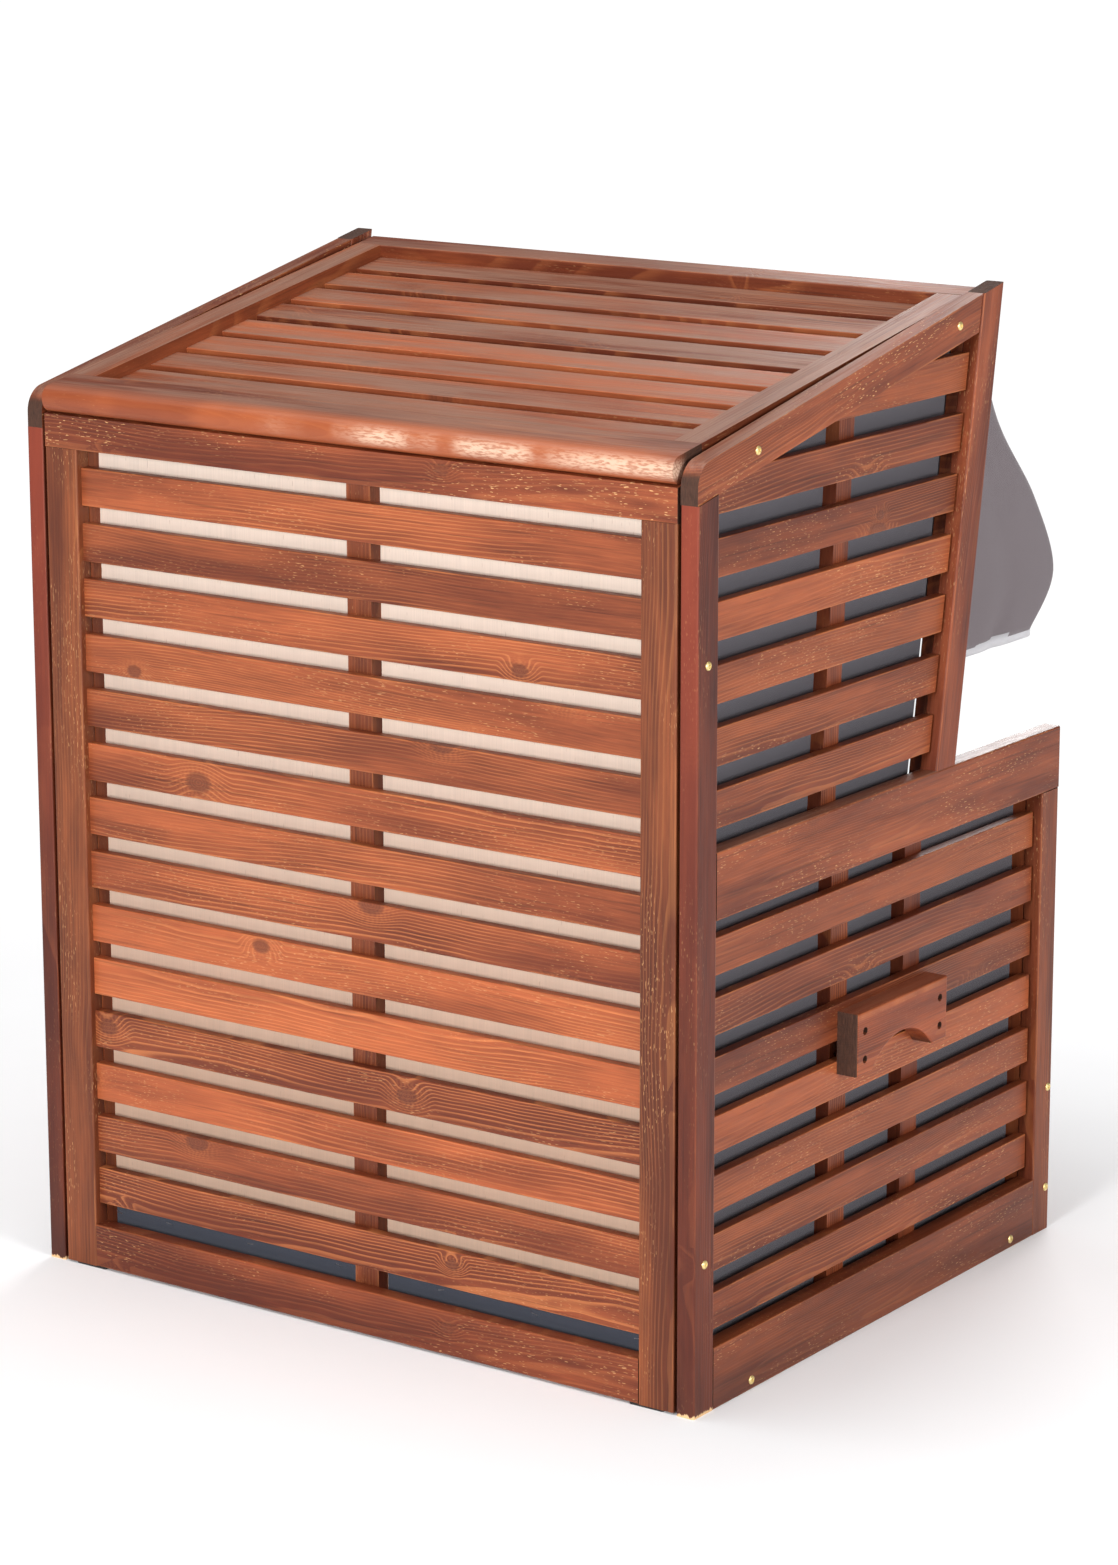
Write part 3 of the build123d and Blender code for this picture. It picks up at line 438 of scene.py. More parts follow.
def weave_group():
    """Plain-woven cloth: two sets of threads and a soft mottle."""
    net, given, out = new_group(
        "Weave", "ShaderNodeTree",
        [("Vector", VECTOR, None), ("Threads", FLOAT, 1400.0), ("Color", COLOUR, (0.5, 0.5, 0.5, 1)),
         ("Mottle", FLOAT, 0.15)],
        [("Color", COLOUR), ("Height", FLOAT), ("Roughness", FLOAT)])
    turns = net.times(given["Threads"], 2 * pi)
    x, y, z = net.split(given["Vector"])[:3]
    warp = net.maths("SINE", net.times(net.plus(x, y), turns))
    weft = net.maths("SINE", net.times(net.plus(z, net.times(y, 0.5)), turns))
    height = net.fit(net.times(warp, weft), 0.5, 0.5)
    slub_x = net.noise(given["Vector"], (30.0, 30.0, 1300.0), 2.0)
    slub_z = net.noise(given["Vector"], (1300.0, 1300.0, 30.0), 2.0)
    cloud = net.noise(given["Vector"], (9.0, 9.0, 9.0), 3.0)
    shade = net.plus(net.plus(slub_x, slub_z), cloud)
    shade = net.fit(net.minus(shade, 1.5), given["Mottle"], 1.0)
    # Painted light and shade at thread scale: the hollows between threads are darkened and the thread tops
    # lightened.
    shade = net.times(shade, net.fit(height, 0.12, 0.94))
    net.tree.links.new(net.tint(given["Color"], shade), out["Color"])
    net.tree.links.new(height, out["Height"])
    net.tree.links.new(net.fit(height, -0.1, 0.92), out["Roughness"])
    return net.tree


def wear_group():
    """Blotches of dirt and rubbing for metal and plastic."""
    net, given, out = new_group(
        "Handling wear", "ShaderNodeTree",
        [("Vector", VECTOR, None), ("Size", FLOAT, 60.0), ("Color", COLOUR, (0.5, 0.5, 0.5, 1)),
         ("Dirt", COLOUR, (0.1, 0.08, 0.06, 1)), ("Amount", FLOAT, 0.4), ("Smooth", FLOAT, 0.3)],
        [("Color", COLOUR), ("Roughness", FLOAT), ("Height", FLOAT)])
    spread = net.add("ShaderNodeVectorMath", {0: given["Vector"], "Scale": given["Size"]},
        operation="SCALE").outputs[0]
    broad = net.noise(spread, (1, 1, 1), 4.0, 0.6)
    fine = net.noise(spread, (9, 9, 9), 3.0, 0.6)
    mask = net.times(net.step(broad, 0.45, 0.7), given["Amount"])
    colour = net.mix(mask, net.tint(given["Color"], net.fit(fine, 0.2, 0.9)), given["Dirt"])
    net.tree.links.new(colour, out["Color"])
    rough = net.fit(mask, 0.4, given["Smooth"])
    net.tree.links.new(net.fit(fine, 0.12, rough), out["Roughness"])
    net.tree.links.new(fine, out["Height"])
    return net.tree


def group(name):
    """A shared node group, built the first time it is asked for."""
    builders = {
        "Board rows": rows_group, "Stained pine": pine_group, "Weathering and sheen": weather_and_sheen_group,
        "Weave": weave_group, "Handling wear": wear_group, "Screw heads": screw_tree,
        "Staples": staple_tree, "Stitches": stitch_tree, "Piping": piping_tree,
    }
    return bpy.data.node_groups.get(name) or builders[name]()


def place_group(net, name, inputs):
    node = net.add("ShaderNodeGroup", node_tree=group(name))
    for key, value in inputs.items():
        if isinstance(value, bpy.types.NodeSocket):
            net.tree.links.new(value, node.inputs[key])
        else:
            node.inputs[key].default_value = value
    return node.outputs


def new_material(name):
    """An empty material: its nodes, its Principled shader, object coordinates and normals."""
    material = bpy.data.materials.new(name)
    material.use_nodes = True
    net = Nodes(material.node_tree)
    shader = material.node_tree.nodes["Principled BSDF"]
    coordinates = net.add("ShaderNodeTexCoord").outputs
    return material, net, shader, coordinates["Object"], coordinates["Normal"]


def relief(net, shader, height, distance, strength=1.0):
    bump = net.add("ShaderNodeBump", {"Height": height, "Distance": distance, "Strength": strength})
    net.tree.links.new(bump.outputs[0], shader.inputs["Normal"])


def paint(node, material):
    """Gives a CAD node one material."""
    data = nodes[node].data
    data.materials.clear()
    data.materials.append(material)


# Wood


def rows_of(names, order, turn):
    """Start, pitch and half width of the boards in some nodes, measured across them."""
    spin = Matrix.Rotation(turn, 3, "X")
    axis = "XYZ".index(order[1])
    spans = []
    for mesh in (nodes[name].data for name in names):
        for face in mesh.polygons:
            values = [(spin @ mesh.vertices[i].co)[axis] for i in face.vertices]
            spans.append((min(values), max(values)))
    boards = []
    for low, high in sorted(spans):
        if not boards or low > boards[-1][1] + 0.001:
            boards.append([low, high])
        boards[-1][1] = max(boards[-1][1], high)
    start, end = boards[0]
    pitch = (boards[-1][0] - start) / (len(boards) - 1) if len(boards) > 1 else 4.0
    return start, pitch, (end - start) / 2


def pine(name, names, order, turn=0.0, lines=0.5, flecks=0.4, knots=1.0, spread=0.25, tone=1.0, hue=None,
    up=0.0,
         wear_and_sheen=None, foot=False, rows=None):
    """A pine material whose grain runs along the first axis of order, on the boards of the named nodes."""
    wood = scene.chair_wood
    material, net, shader, point, normal = new_material(name)
    start, pitch, half = rows or rows_of(names, order, turn)
    mapped = []
    for vector in (point, normal):
        if turn:
            vector = net.add("ShaderNodeVectorRotate", {"Vector": vector, "Angle": turn},
                rotation_type="X_AXIS").outputs[0]
        parts = net.split(vector)
        mapped.append(net.join(*(parts["XYZ".index(axis)] for axis in order)))
    place, board = place_group(net, "Board rows",
        {"Point": mapped[0], "Start": start, "Pitch": pitch, "Half Width": half})
    hue = hue or (1, 1, 1)
    shades = {key: [c * tone * h for c, h in zip(getattr(wood, key)[:3], hue)] + [1] for key in ("light",
        "deep", "streak")}
    made = place_group(net, "Stained pine", {
        "Place": place, "Facing": mapped[1], "Board": board, "Half Width": half, "Light": shades["light"],
        "Deep": shades["deep"], "Streak": shades["streak"], "Lines": lines, "Flecks": flecks, "Knots": knots,
        "Spread": spread})
    colour, rough = made["Color"], made["Roughness"]
    # Grey on upward faces: partly weathering, partly painted sheen of the light overhead; these faces are also
    # made a little glossier.
    if up:
        weathered_and_sheen = place_group(net, "Weathering and sheen", {
            "Color": colour, "Place": place, "Board": board, "Up": net.split(normal)[2], "Amount": up,
            "Grey": list(wood.grey)})
        colour = weathered_and_sheen["Color"]
        rough = net.fit(weathered_and_sheen["Mask"], -0.06, rough)
    if wear_and_sheen:
        colour, rough = wear_and_sheen(net, point, normal, colour, rough)
    if foot:
        low = net.step(net.split(point)[2], 0.13, 0.0)
        colour = net.mix(net.times(low, 0.35), colour, srgb(66, 32, 22))
    if foot == "torn":
        ragged = net.times(net.noise(point, (260, 260, 30), 2.0), 0.012)
        torn = net.step(net.minus(net.split(point)[2], ragged), -0.001, -0.0035)
        colour = net.mix(torn, colour, srgb(232, 190, 140))
    net.tree.links.new(colour, shader.inputs["Base Color"])
    net.tree.links.new(rough, shader.inputs["Roughness"])
    shader.inputs["Specular IOR Level"].default_value = 0.36
    relief(net, shader, made["Height"], wood.relief)
    for node in names:
        paint(node, material)
    return material


def rubbed_and_highlit_bullnose(net, point, normal, colour, rough):
    """Painted highlight and rubbed varnish on the rounded rear edge of the roof: a pale, glossy band where the
    edge catches the light, patchy where the varnish is rubbed; orange where the varnish is fresh.
    """
    x, y, z = net.split(point)[:3]
    rear = net.step(y, REAR_Y - 0.03, REAR_Y - 0.004)
    fresh = net.mix(net.step(net.noise(point, (5, 3, 3), 2.0), 0.4, 0.6), srgb(150, 74, 42),
        srgb(186, 98, 56))
    colour = net.mix(net.times(rear, 0.65), colour, fresh)
    zone = net.times(net.step(x, 0.22, -0.05), net.step(net.noise(point, (7, 2, 2), 2.0), 0.34, 0.56))
    speck = net.step(net.noise(point, (90, 420, 420), 3.0), 0.36, 0.58)
    # Painted highlight: the pale band lies at the height on the rounded edge where it catches the light.
    belt = net.times(net.step(z, 1.331, 1.345), net.step(z, 1.368, 1.352))
    pale = net.times(net.times(zone, belt), net.fit(speck, 0.6, 0.3))
    pale = net.times(pale, rear)
    colour = net.mix(pale, colour, srgb(226, 190, 164))
    return colour, net.fit(pale, -0.08, rough)


def worn_stile(net, point, normal, colour, rough):
    """Reddish rear face and a thin pale line rubbed along the front edge."""
    y = net.split(point)[1]
    edge = net.times(net.step(y, REAR_Y - 0.0470, REAR_Y - 0.0486),
        net.step(net.split(normal)[1], -0.9, -0.7))
    patchy = net.step(net.noise(point, (3, 3, 9), 3.0), 0.35, 0.6)
    colour = net.mix(net.times(net.times(edge, patchy), 0.6), colour, srgb(212, 150, 120))
    rear = net.step(net.split(normal)[1], 0.5, 0.9)
    top = net.step(net.split(point)[2], 0.5, 1.3)
    colour = net.mix(net.times(net.times(rear, top), 0.5), colour, srgb(158, 62, 38))
    return colour, rough


def both(*kinds):
    return [f"{side}_{kind}" for side, _ in SIDES for kind in kinds]


class CHAIR_OT_wood(bpy.types.Operator):
    """Stains every pine board, with the grain along it"""

    bl_idname = "chair.wood"
    bl_label = "Stain the wood"

    def execute(self, context):
        pine("back_slat_pine", ["back_slats"], "XZY", lines=0.55, flecks=0.4, knots=1.0, spread=0.3,
            tone=1.08)
        pine("back_rail_pine", ["back_top_rail"], "XZY", lines=0.2, flecks=0.7, knots=0.6, tone=0.98,
            hue=(1.0, 0.96, 0.98))
        pine("back_bottom_pine", ["back_bottom_rail"], "XZY", lines=0.25, flecks=0.5, knots=0.5, tone=0.8,
            hue=(1, 0.9, 0.88))
        pine("back_stile_pine", ["back_stiles"], "ZXY", lines=0.3, flecks=0.5, knots=0.2, tone=0.8,
            hue=(0.95, 1.02, 0.95))
        pine("back_batten_pine", ["back_battens"], "ZXY", lines=0.3, flecks=0.2, knots=0.3, tone=0.85)
        pine("hood_slat_pine", both("hood_slats"), "YZX", lines=0.35, flecks=0.6, knots=0.9, spread=0.25,
            tone=0.98)
        pine("base_slat_pine", both("base_slats"), "YZX", lines=0.35, flecks=0.5, knots=0.9, spread=0.25,
            tone=0.95)
        pine("armrest_pine", both("armrest"), "YZX", lines=0.15, flecks=0.6, knots=0.4, tone=0.98, up=0.7)
        pine("base_rail_pine", both("bottom_rail"), "YZX", lines=0.25, flecks=0.6, knots=0.4, tone=0.85,
            foot=True)
        pine("side_batten_pine", both("battens"), "ZYX", lines=0.3, flecks=0.1, knots=0.0, tone=1.0,
            rows=(-1, 0.2, 0.1))
        pine("rear_stile_pine", both("rear_stile"), "ZYX", lines=0.3, flecks=0.25, knots=0.7, spread=0.2,
            tone=0.52,
             hue=(0.98, 0.76, 0.82), wear_and_sheen=worn_stile, foot="torn")
        pine("front_stile_pine", both("front_stile"), "ZYX", lines=0.3, flecks=0.5, knots=0.3, tone=0.82,
            foot=True)
        pine("hood_stile_pine", both("hood_stile"), "ZYX", turn=STILE_TURN, lines=0.3, flecks=0.4, knots=0.3,
            tone=1.0,
             hue=(1.0, 0.96, 0.96))
        pine("side_rail_pine", both("top_rail"), "YZX", turn=RAIL_TURN, lines=0.25, flecks=1.0, knots=0.5,
            tone=1.0, up=0.75)
        pine("roof_slat_pine", ["roof_slats"], "XYZ", turn=ROOF_TURN, lines=0.35, flecks=0.25, knots=0.9,
            spread=0.35,
             tone=1.02, up=0.85)
        pine("roof_side_pine", ["roof_side_rails"], "YXZ", turn=ROOF_TURN, lines=0.3, flecks=0.3, knots=0.3,
            tone=0.85, up=0.85)
        pine("roof_front_pine", ["roof_front_rail"], "XYZ", turn=ROOF_TURN, lines=0.3, flecks=0.2, knots=0.6,
            tone=0.95, up=0.6)
        pine("roof_rear_pine", ["roof_rear_rail"], "XYZ", turn=ROOF_TURN, lines=0.3, flecks=0.3, knots=0.2,
            tone=0.95, up=0.7,
             wear_and_sheen=rubbed_and_highlit_bullnose)
        pine("handle_pine", both("handle"), "YZX", lines=0.25, flecks=0.15, knots=0.0, tone=1.0,
            hue=(1.0, 0.93, 0.9),
             rows=(0.40, 1.0, 0.0475), up=0.25)
        pine("front_rail_pine", ["front_bottom_rail", "front_top_rail"], "XZY", lines=0.35, flecks=0.5,
            knots=0.5,
             tone=0.9, rows=(0, 0.3, 0.026))
        pine("front_post_pine", ["front_posts"], "ZXY", lines=0.3, flecks=0.3, knots=0.2, tone=0.9)
        pine("footrest_slat_pine", both("footrest_slats"), "XZY", lines=0.5, flecks=0.4, knots=0.9,
            spread=0.4)
        pine("footrest_frame_pine", both("footrest_frame"), "YZX", lines=0.35, flecks=0.2, knots=0.5,
            tone=0.9,
             rows=(0, 0.5, 0.12))
        pine("pull_pine", both("footrest_pull"), "XZY", lines=0.25, flecks=0.1, knots=0.0)
        pine("runner_pine", ["footrest_runners"], "YXZ", lines=0.3, flecks=0.1, knots=0.3, tone=0.85)
        pine("crossbar_pine", ["floor_crossbars"], "XYZ", lines=0.3, flecks=0.1, knots=0.3, tone=0.85)
        return {"FINISHED"}


class CHAIR_OT_boards(bpy.types.Operator):
    """Gives the plywood boards a pale, finely grained face"""

    bl_idname = "chair.boards"
    bl_label = "Face the plywood"

    def execute(self, context):
        material, net, shader, point, normal = new_material("birch_plywood")
        fine = net.noise(point, (560, 560, 9), 2.0, 0.6)
        broad = net.noise(point, (34, 34, 1.6), 3.0)
        pore = net.step(net.noise(point, (420, 420, 60), 1.0), 0.68, 0.76)
        # Painted light: the board is paler towards the top and darker towards the bottom.
        height = net.step(net.split(point)[2], 0.25, 1.25)
        colour = net.mix(height, srgb(222, 190, 166), srgb(250, 232, 216))
        shade = net.times(net.fit(fine, 0.2, 0.9), net.fit(broad, 0.14, 0.93))
        colour = net.tint(colour, shade)
        colour = net.mix(net.times(pore, 0.3), colour, srgb(170, 132, 108))
        ply = net.maths("SINE", net.times(net.split(point)[1], 3900.0))
        side = net.step(net.size(net.split(normal)[1]), 0.6, 0.3)
        colour = net.mix(net.times(side, net.step(ply, -0.2, 0.2)), colour, srgb(150, 108, 78))
        net.tree.links.new(colour, shader.inputs["Base Color"])
        net.tree.links.new(net.fit(fine, 0.2, 0.55), shader.inputs["Roughness"])
        relief(net, shader, fine, 0.0002)
        for node in ("back_board", "seat_board", "backrest_board"):
            paint(node, material)
        return {"FINISHED"}


# Metal and plastic


def worn_material(name, colour, dirt, metallic, smooth, amount=0.4, size=60.0):
    """Metal or plastic with handling wear."""
    material, net, shader, point, _ = new_material(name)
    made = place_group(net, "Handling wear", {
        "Vector": point, "Size": size, "Color": colour, "Dirt": dirt, "Amount": amount, "Smooth": smooth})
    net.tree.links.new(made["Color"], shader.inputs["Base Color"])
    net.tree.links.new(made["Roughness"], shader.inputs["Roughness"])
    shader.inputs["Metallic"].default_value = metallic
    relief(net, shader, made["Height"], 0.00005)
    return material


class CHAIR_OT_metal(bpy.types.Operator):
    """Finishes the awning bow, its pivots and the floor glides"""

    bl_idname = "chair.metal"
    bl_label = "Finish metal and plastic"

    def execute(self, context):
        tube = worn_material("bow_aluminium", srgb(186, 187, 190), srgb(120, 116, 112), 1.0, 0.32, 0.3, 30.0)
        paint("awning_bow", tube)
        paint("awning_pivots", tube)
        paint("glides",
            worn_material("glide_plastic", srgb(24, 24, 26), srgb(70, 62, 56), 0.0, 0.5, 0.5, 90.0))
        return {"FINISHED"}


# Small repeated parts, made by geometry nodes


def finish_tree(net, geometry, out, given):
    """Ends a geometry tree in real geometry with its material."""
    real = net.add("GeometryNodeRealizeInstances", {0: geometry}).outputs[0]
    done = net.add("GeometryNodeSetMaterial", {"Geometry": real, "Material": given["Material"]})
    net.tree.links.new(done.outputs[0], out["Geometry"])
    return net.tree


GEOMETRY, MATERIAL = "NodeSocketGeometry", "NodeSocketMaterial"


def screw_tree():
    """A domed, cross-slotted screw head on every point, facing away from the middle of the chair."""
    net, given, out = new_group(
        "Screw heads", "GeometryNodeTree",
        [("Geometry", GEOMETRY, None), ("Radius", FLOAT, 0.0065), ("Height", FLOAT, 0.0025),
            ("Slot Width", FLOAT, 0.14),
         ("Slot Length", FLOAT, 0.55), ("Slot Depth", FLOAT, 0.0012), ("Material", MATERIAL, None)],
        [("Geometry", GEOMETRY)])
    grid = net.add("GeometryNodeMeshGrid", {"Size X": 2.0, "Size Y": 2.0, "Vertices X": 37, "Vertices Y": 37})
    x, y, _ = net.split(net.add("GeometryNodeInputPosition").outputs[0])[:3]
    round_x = net.times(x, net.maths("SQRT", net.fit(net.times(y, y), -0.5, 1.0)))
    round_y = net.times(y, net.maths("SQRT", net.fit(net.times(x, x), -0.5, 1.0)))
    square = net.plus(net.times(round_x, round_x), net.times(round_y, round_y))
    dome = net.maths("SQRT", net.maths("MAXIMUM", net.minus(1.0, net.maths("POWER", square, 1.6)), 0.0))

    def inside(value, limit):
        over = net.over(net.minus(net.size(value), limit), -0.05)
        return net.maths("MINIMUM", net.maths("MAXIMUM", over, 0.0), 1.0)

    first = net.times(inside(round_x, given["Slot Width"]), inside(round_y, given["Slot Length"]))
    second = net.times(inside(round_y, given["Slot Width"]), inside(round_x, given["Slot Length"]))
    slot = net.times(net.maths("MAXIMUM", first, second), given["Slot Depth"])
    rise = net.minus(net.times(dome, given["Height"]), slot)
    shape = net.join(net.times(round_x, given["Radius"]), net.times(round_y, given["Radius"]), rise)
    head = net.add("GeometryNodeSetPosition", {"Geometry": grid.outputs[0], "Position": shape}).outputs[0]
    side = net.maths("SIGN", net.split(net.add("GeometryNodeInputPosition").outputs[0])[0])
    seed = net.maths("SINE", net.times(net.add("GeometryNodeInputIndex").outputs[0], 2.3))
    facing = net.join(0.0, net.times(side, pi / 2), 0.0)
    put = net.add("GeometryNodeInstanceOnPoints",
        {"Points": given["Geometry"], "Instance": head, "Rotation": facing})
    turned = net.add("GeometryNodeRotateInstances",
        {"Instances": put.outputs[0], "Rotation": net.join(0.0, 0.0, seed)})
    return finish_tree(net, turned.outputs[0], out, given)


def staple_tree():
    """A flat wire staple on every point of a rear face, each a little askew."""
    net, given, out = new_group(
        "Staples", "GeometryNodeTree",
        [("Geometry", GEOMETRY, None), ("Length", FLOAT, 0.011), ("Wire", FLOAT, 0.0009),
            ("Tilt", FLOAT, 0.3),
         ("Seed", "NodeSocketInt", 4), ("Material", MATERIAL, None)],
        [("Geometry", GEOMETRY)])
    cube = net.add("GeometryNodeMeshCube", {"Size": net.join(given["Length"], given["Wire"], given["Wire"])})
    low = net.times(given["Tilt"], -1.0)
    tilt = net.add("FunctionNodeRandomValue", {2: low, 3: given["Tilt"], "Seed": given["Seed"]},
        data_type="FLOAT").outputs[1]
    put = net.add("GeometryNodeInstanceOnPoints", {
        "Points": given["Geometry"], "Instance": cube.outputs[0], "Rotation": net.join(0.0, tilt, 0.0)})
    return finish_tree(net, put.outputs[0], out, given)


def piping_tree():
    """A round cord along every chain of edges."""
    net, given, out = new_group(
        "Piping", "GeometryNodeTree",
        [("Geometry", GEOMETRY, None), ("Radius", FLOAT, 0.003), ("Spacing", FLOAT, 0.012),
            ("Material", MATERIAL, None)],
        [("Geometry", GEOMETRY)])
    curve = net.add("GeometryNodeMeshToCurve", {0: given["Geometry"]}).outputs[0]
    even = net.add("GeometryNodeResampleCurve", {"Curve": curve, "Length": given["Spacing"]},
        mode="LENGTH").outputs[0]
    ring = net.add("GeometryNodeCurvePrimitiveCircle",
        {"Resolution": 10, "Radius": given["Radius"]}).outputs[0]
    body = net.add("GeometryNodeCurveToMesh", {"Curve": even, "Profile Curve": ring}).outputs[0]
    smooth = net.add("GeometryNodeSetShadeSmooth", {"Geometry": body}).outputs[0]
    return finish_tree(net, smooth, out, given)


def stitch_tree():
    """Short thread stitches along every chain of edges."""
    net, given, out = new_group(
        "Stitches", "GeometryNodeTree",
        [("Geometry", GEOMETRY, None), ("Pitch", FLOAT, 0.006), ("Length", FLOAT, 0.004),
            ("Thread", FLOAT, 0.0005),
         ("Material", MATERIAL, None)],
        [("Geometry", GEOMETRY)])
    curve = net.add("GeometryNodeMeshToCurve", {0: given["Geometry"]}).outputs[0]
    points = net.add("GeometryNodeCurveToPoints", {"Curve": curve, "Length": given["Pitch"]}, mode="LENGTH")
    thread = net.add("GeometryNodeMeshCylinder",
        {"Vertices": 5, "Radius": given["Thread"], "Depth": given["Length"]})
    put = net.add("GeometryNodeInstanceOnPoints", {
        "Points": points.outputs["Points"], "Instance": thread.outputs["Mesh"], "Rotation": points.outputs[
            "Rotation"]})
    return finish_tree(net, put.outputs[0], out, given)


def by_tree(name, tree_name, points, edges, values, body):
    """Runs a geometry tree on points and edges and keeps the result as a plain mesh on a body."""
    mesh = bpy.data.meshes.new(name)
    mesh.from_pydata(points, edges, [])
    piece = bpy.data.objects.new(name, mesh)
    scene.collection.objects.link(piece)
    modifier = piece.modifiers.new(tree_name, "NODES")
    tree = group(tree_name)
    modifier.node_group = tree
    for item in tree.interface.items_tree:
        if item.in_out == "INPUT" and item.name in values:
            modifier[item.identifier] = values[item.name]
    made = bpy.data.meshes.new_from_object(piece.evaluated_get(bpy.context.evaluated_depsgraph_get()))
    piece.modifiers.remove(modifier)
    piece.data = made
    made.name = name
    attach(piece, body)
    return piece


FRAME_SCREWS = (
    (600, 25, 1081), (600, 25, 224), (598, 148, 1359.9), (598, 686, 1469.4),
    (600, 149, 14), (600, 892, 14), (600, 1000, 70), (600, 1000, 235),
)
HANDLE_SCREWS = ((412, 431), (412, 474), (624, 431), (624, 474))
HANDLE_SCREW_DEPTH = 0.0026


class CHAIR_OT_screws(bpy.types.Operator):
    """Sets the brass screws of the frame and the dark screws of the handles"""

    bl_idname = "chair.screws"
    bl_label = "Set the screws"

    def execute(self, context):
        sizes = scene.chair_screws
        brass = worn_material("screw_brass", srgb(252, 228, 158), srgb(150, 110, 58), 0.85, 0.3, 0.35, 240.0)
        dark = worn_material("screw_bronze", srgb(96, 66, 42), srgb(30, 20, 14), 1.0, 0.4, 0.6, 240.0)
        points = [at(side * x, depth, z) for _, side in SIDES for x, depth, z in FRAME_SCREWS]
        heads = by_tree("frame_screw_heads", "Screw heads", points, [], {
            "Radius": sizes.radius, "Height": sizes.height, "Slot Depth": 0.0015, "Material": brass}, "chair")
        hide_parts("frame_screws")
        inner = max(v.co.x for v in nodes["handle_screws"].data.vertices) - HANDLE_SCREW_DEPTH
        points = [at(side * inner * 1000, depth, z) for _, side in SIDES for depth, z in HANDLE_SCREWS]
        sunk = by_tree("handle_screw_heads", "Screw heads", points, [], {
            "Radius": sizes.handle_radius, "Height": 0.0022, "Slot Width": 0.17, "Slot Length": 0.62,
            "Slot Depth": 0.0016, "Material": dark}, "chair")
        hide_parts("handle_screws")
        return {"FINISHED"}


# Cloth


def cloth_material(name, colour, threads=900.0, mottle=0.15, depth=0.0003, sheen=0.25):
    """Woven cloth in one colour."""
    material, net, shader, point, _ = new_material(name)
    made = place_group(net, "Weave",
        {"Vector": point, "Threads": threads, "Color": list(colour), "Mottle": mottle})
    net.tree.links.new(made["Color"], shader.inputs["Base Color"])
    net.tree.links.new(made["Roughness"], shader.inputs["Roughness"])
    shader.inputs["Sheen Weight"].default_value = sheen
    shader.inputs["Sheen Roughness"].default_value = 0.5
    shader.inputs["Specular IOR Level"].default_value = 0.2
    relief(net, shader, made["Height"], depth)
    return material


def named_cloth(name):
    """The finished cloth of one kind, made when first asked for."""
    cloth = scene.chair_cloth
    kinds = {
        "awning_canvas": (cloth.awning, 1000.0, 0.12),
        "cushion_cover": (cloth.cushion, 700.0, 0.3),
        "lining_canvas": (cloth.lining, 900.0, 0.16),
        "piping_cord": ([c * 0.72 for c in cloth.cushion[:3]] + [1], 700.0, 0.2),
        "hem_tape": (srgb(214, 212, 216), 900.0, 0.1),
        "thread": (srgb(96, 92, 96), 900.0, 0.1),
        "wrap_canvas": (srgb(74, 78, 90), 900.0, 0.2),
    }
    found = bpy.data.materials.get(name)
    if found:
        return found
    colour, threads, mottle = kinds[name]
    return cloth_material(name, colour, threads, mottle)


def new_piece(name, points, faces, material, smooth=True):
    mesh = bpy.data.meshes.new(name)
    mesh.from_pydata(points, [], faces)
    mesh.validate()
    for face in mesh.polygons:
        face.use_smooth = smooth
    piece = bpy.data.objects.new(name, mesh)
    scene.collection.objects.link(piece)
    mesh.materials.append(material)
    return piece


def outward(mesh):
    """Turns a closed shell's faces outwards."""
    work = bmesh.new()
    work.from_mesh(mesh)
    bmesh.ops.remove_doubles(work, verts=work.verts, dist=1e-6)
    bmesh.ops.recalc_face_normals(work, faces=work.faces)
    work.to_mesh(mesh)
    work.free()
    mesh.update()


def baked(piece):
    """The piece's mesh with its modifiers applied."""
    mesh = bpy.data.meshes.new_from_object(piece.evaluated_get(bpy.context.evaluated_depsgraph_get()))
    piece.modifiers.clear()
    piece.data = mesh
    return mesh


def rounded_block(name, low, high, radius, cell):
    """A block with rounded edges, in cells small enough to bulge."""
    work = bmesh.new()
    bmesh.ops.create_cube(work, size=1.0)
    size, centre = high - low, (high + low) / 2
    for vertex in work.verts:
        vertex.co = Vector([centre[i] + vertex.co[i] * size[i] for i in range(3)])
    mesh = bpy.data.meshes.new(name)
    work.to_mesh(mesh)
    work.free()
    piece = bpy.data.objects.new(name, mesh)
    scene.collection.objects.link(piece)
    bevel = piece.modifiers.new("Edge", "BEVEL")
    bevel.width, bevel.segments = radius, 4
    remesh = piece.modifiers.new("Cells", "REMESH")
    remesh.mode, remesh.voxel_size = "VOXEL", cell
    baked(piece)
    return piece


FILL_FRAMES = 20


def filled(piece, pressure, cap):
    """Blows the cover up like a stuffed cushion, each point moving at most cap."""
    rest = [v.co.copy() for v in piece.data.vertices]
    cloth = piece.modifiers.new("Fill", "CLOTH")
    settings = cloth.settings
    settings.quality = 4
    settings.use_pressure = True
    settings.uniform_pressure_force = pressure
    settings.effector_weights.gravity = 0
    settings.tension_stiffness = 12
    settings.compression_stiffness = 12
    cloth.point_cache.frame_start, cloth.point_cache.frame_end = 1, FILL_FRAMES
    for step in range(1, FILL_FRAMES + 1):
        scene.frame_set(step)
    blown = piece.evaluated_get(bpy.context.evaluated_depsgraph_get()).data
    moved = [v.co.copy() for v in blown.vertices]
    piece.modifiers.remove(cloth)
    scene.frame_set(1)
    for vertex, start, end in zip(piece.data.vertices, rest, moved):
        shift = end - start
        vertex.co = start + shift * min(1.0, cap / max(shift.length, 1e-9))


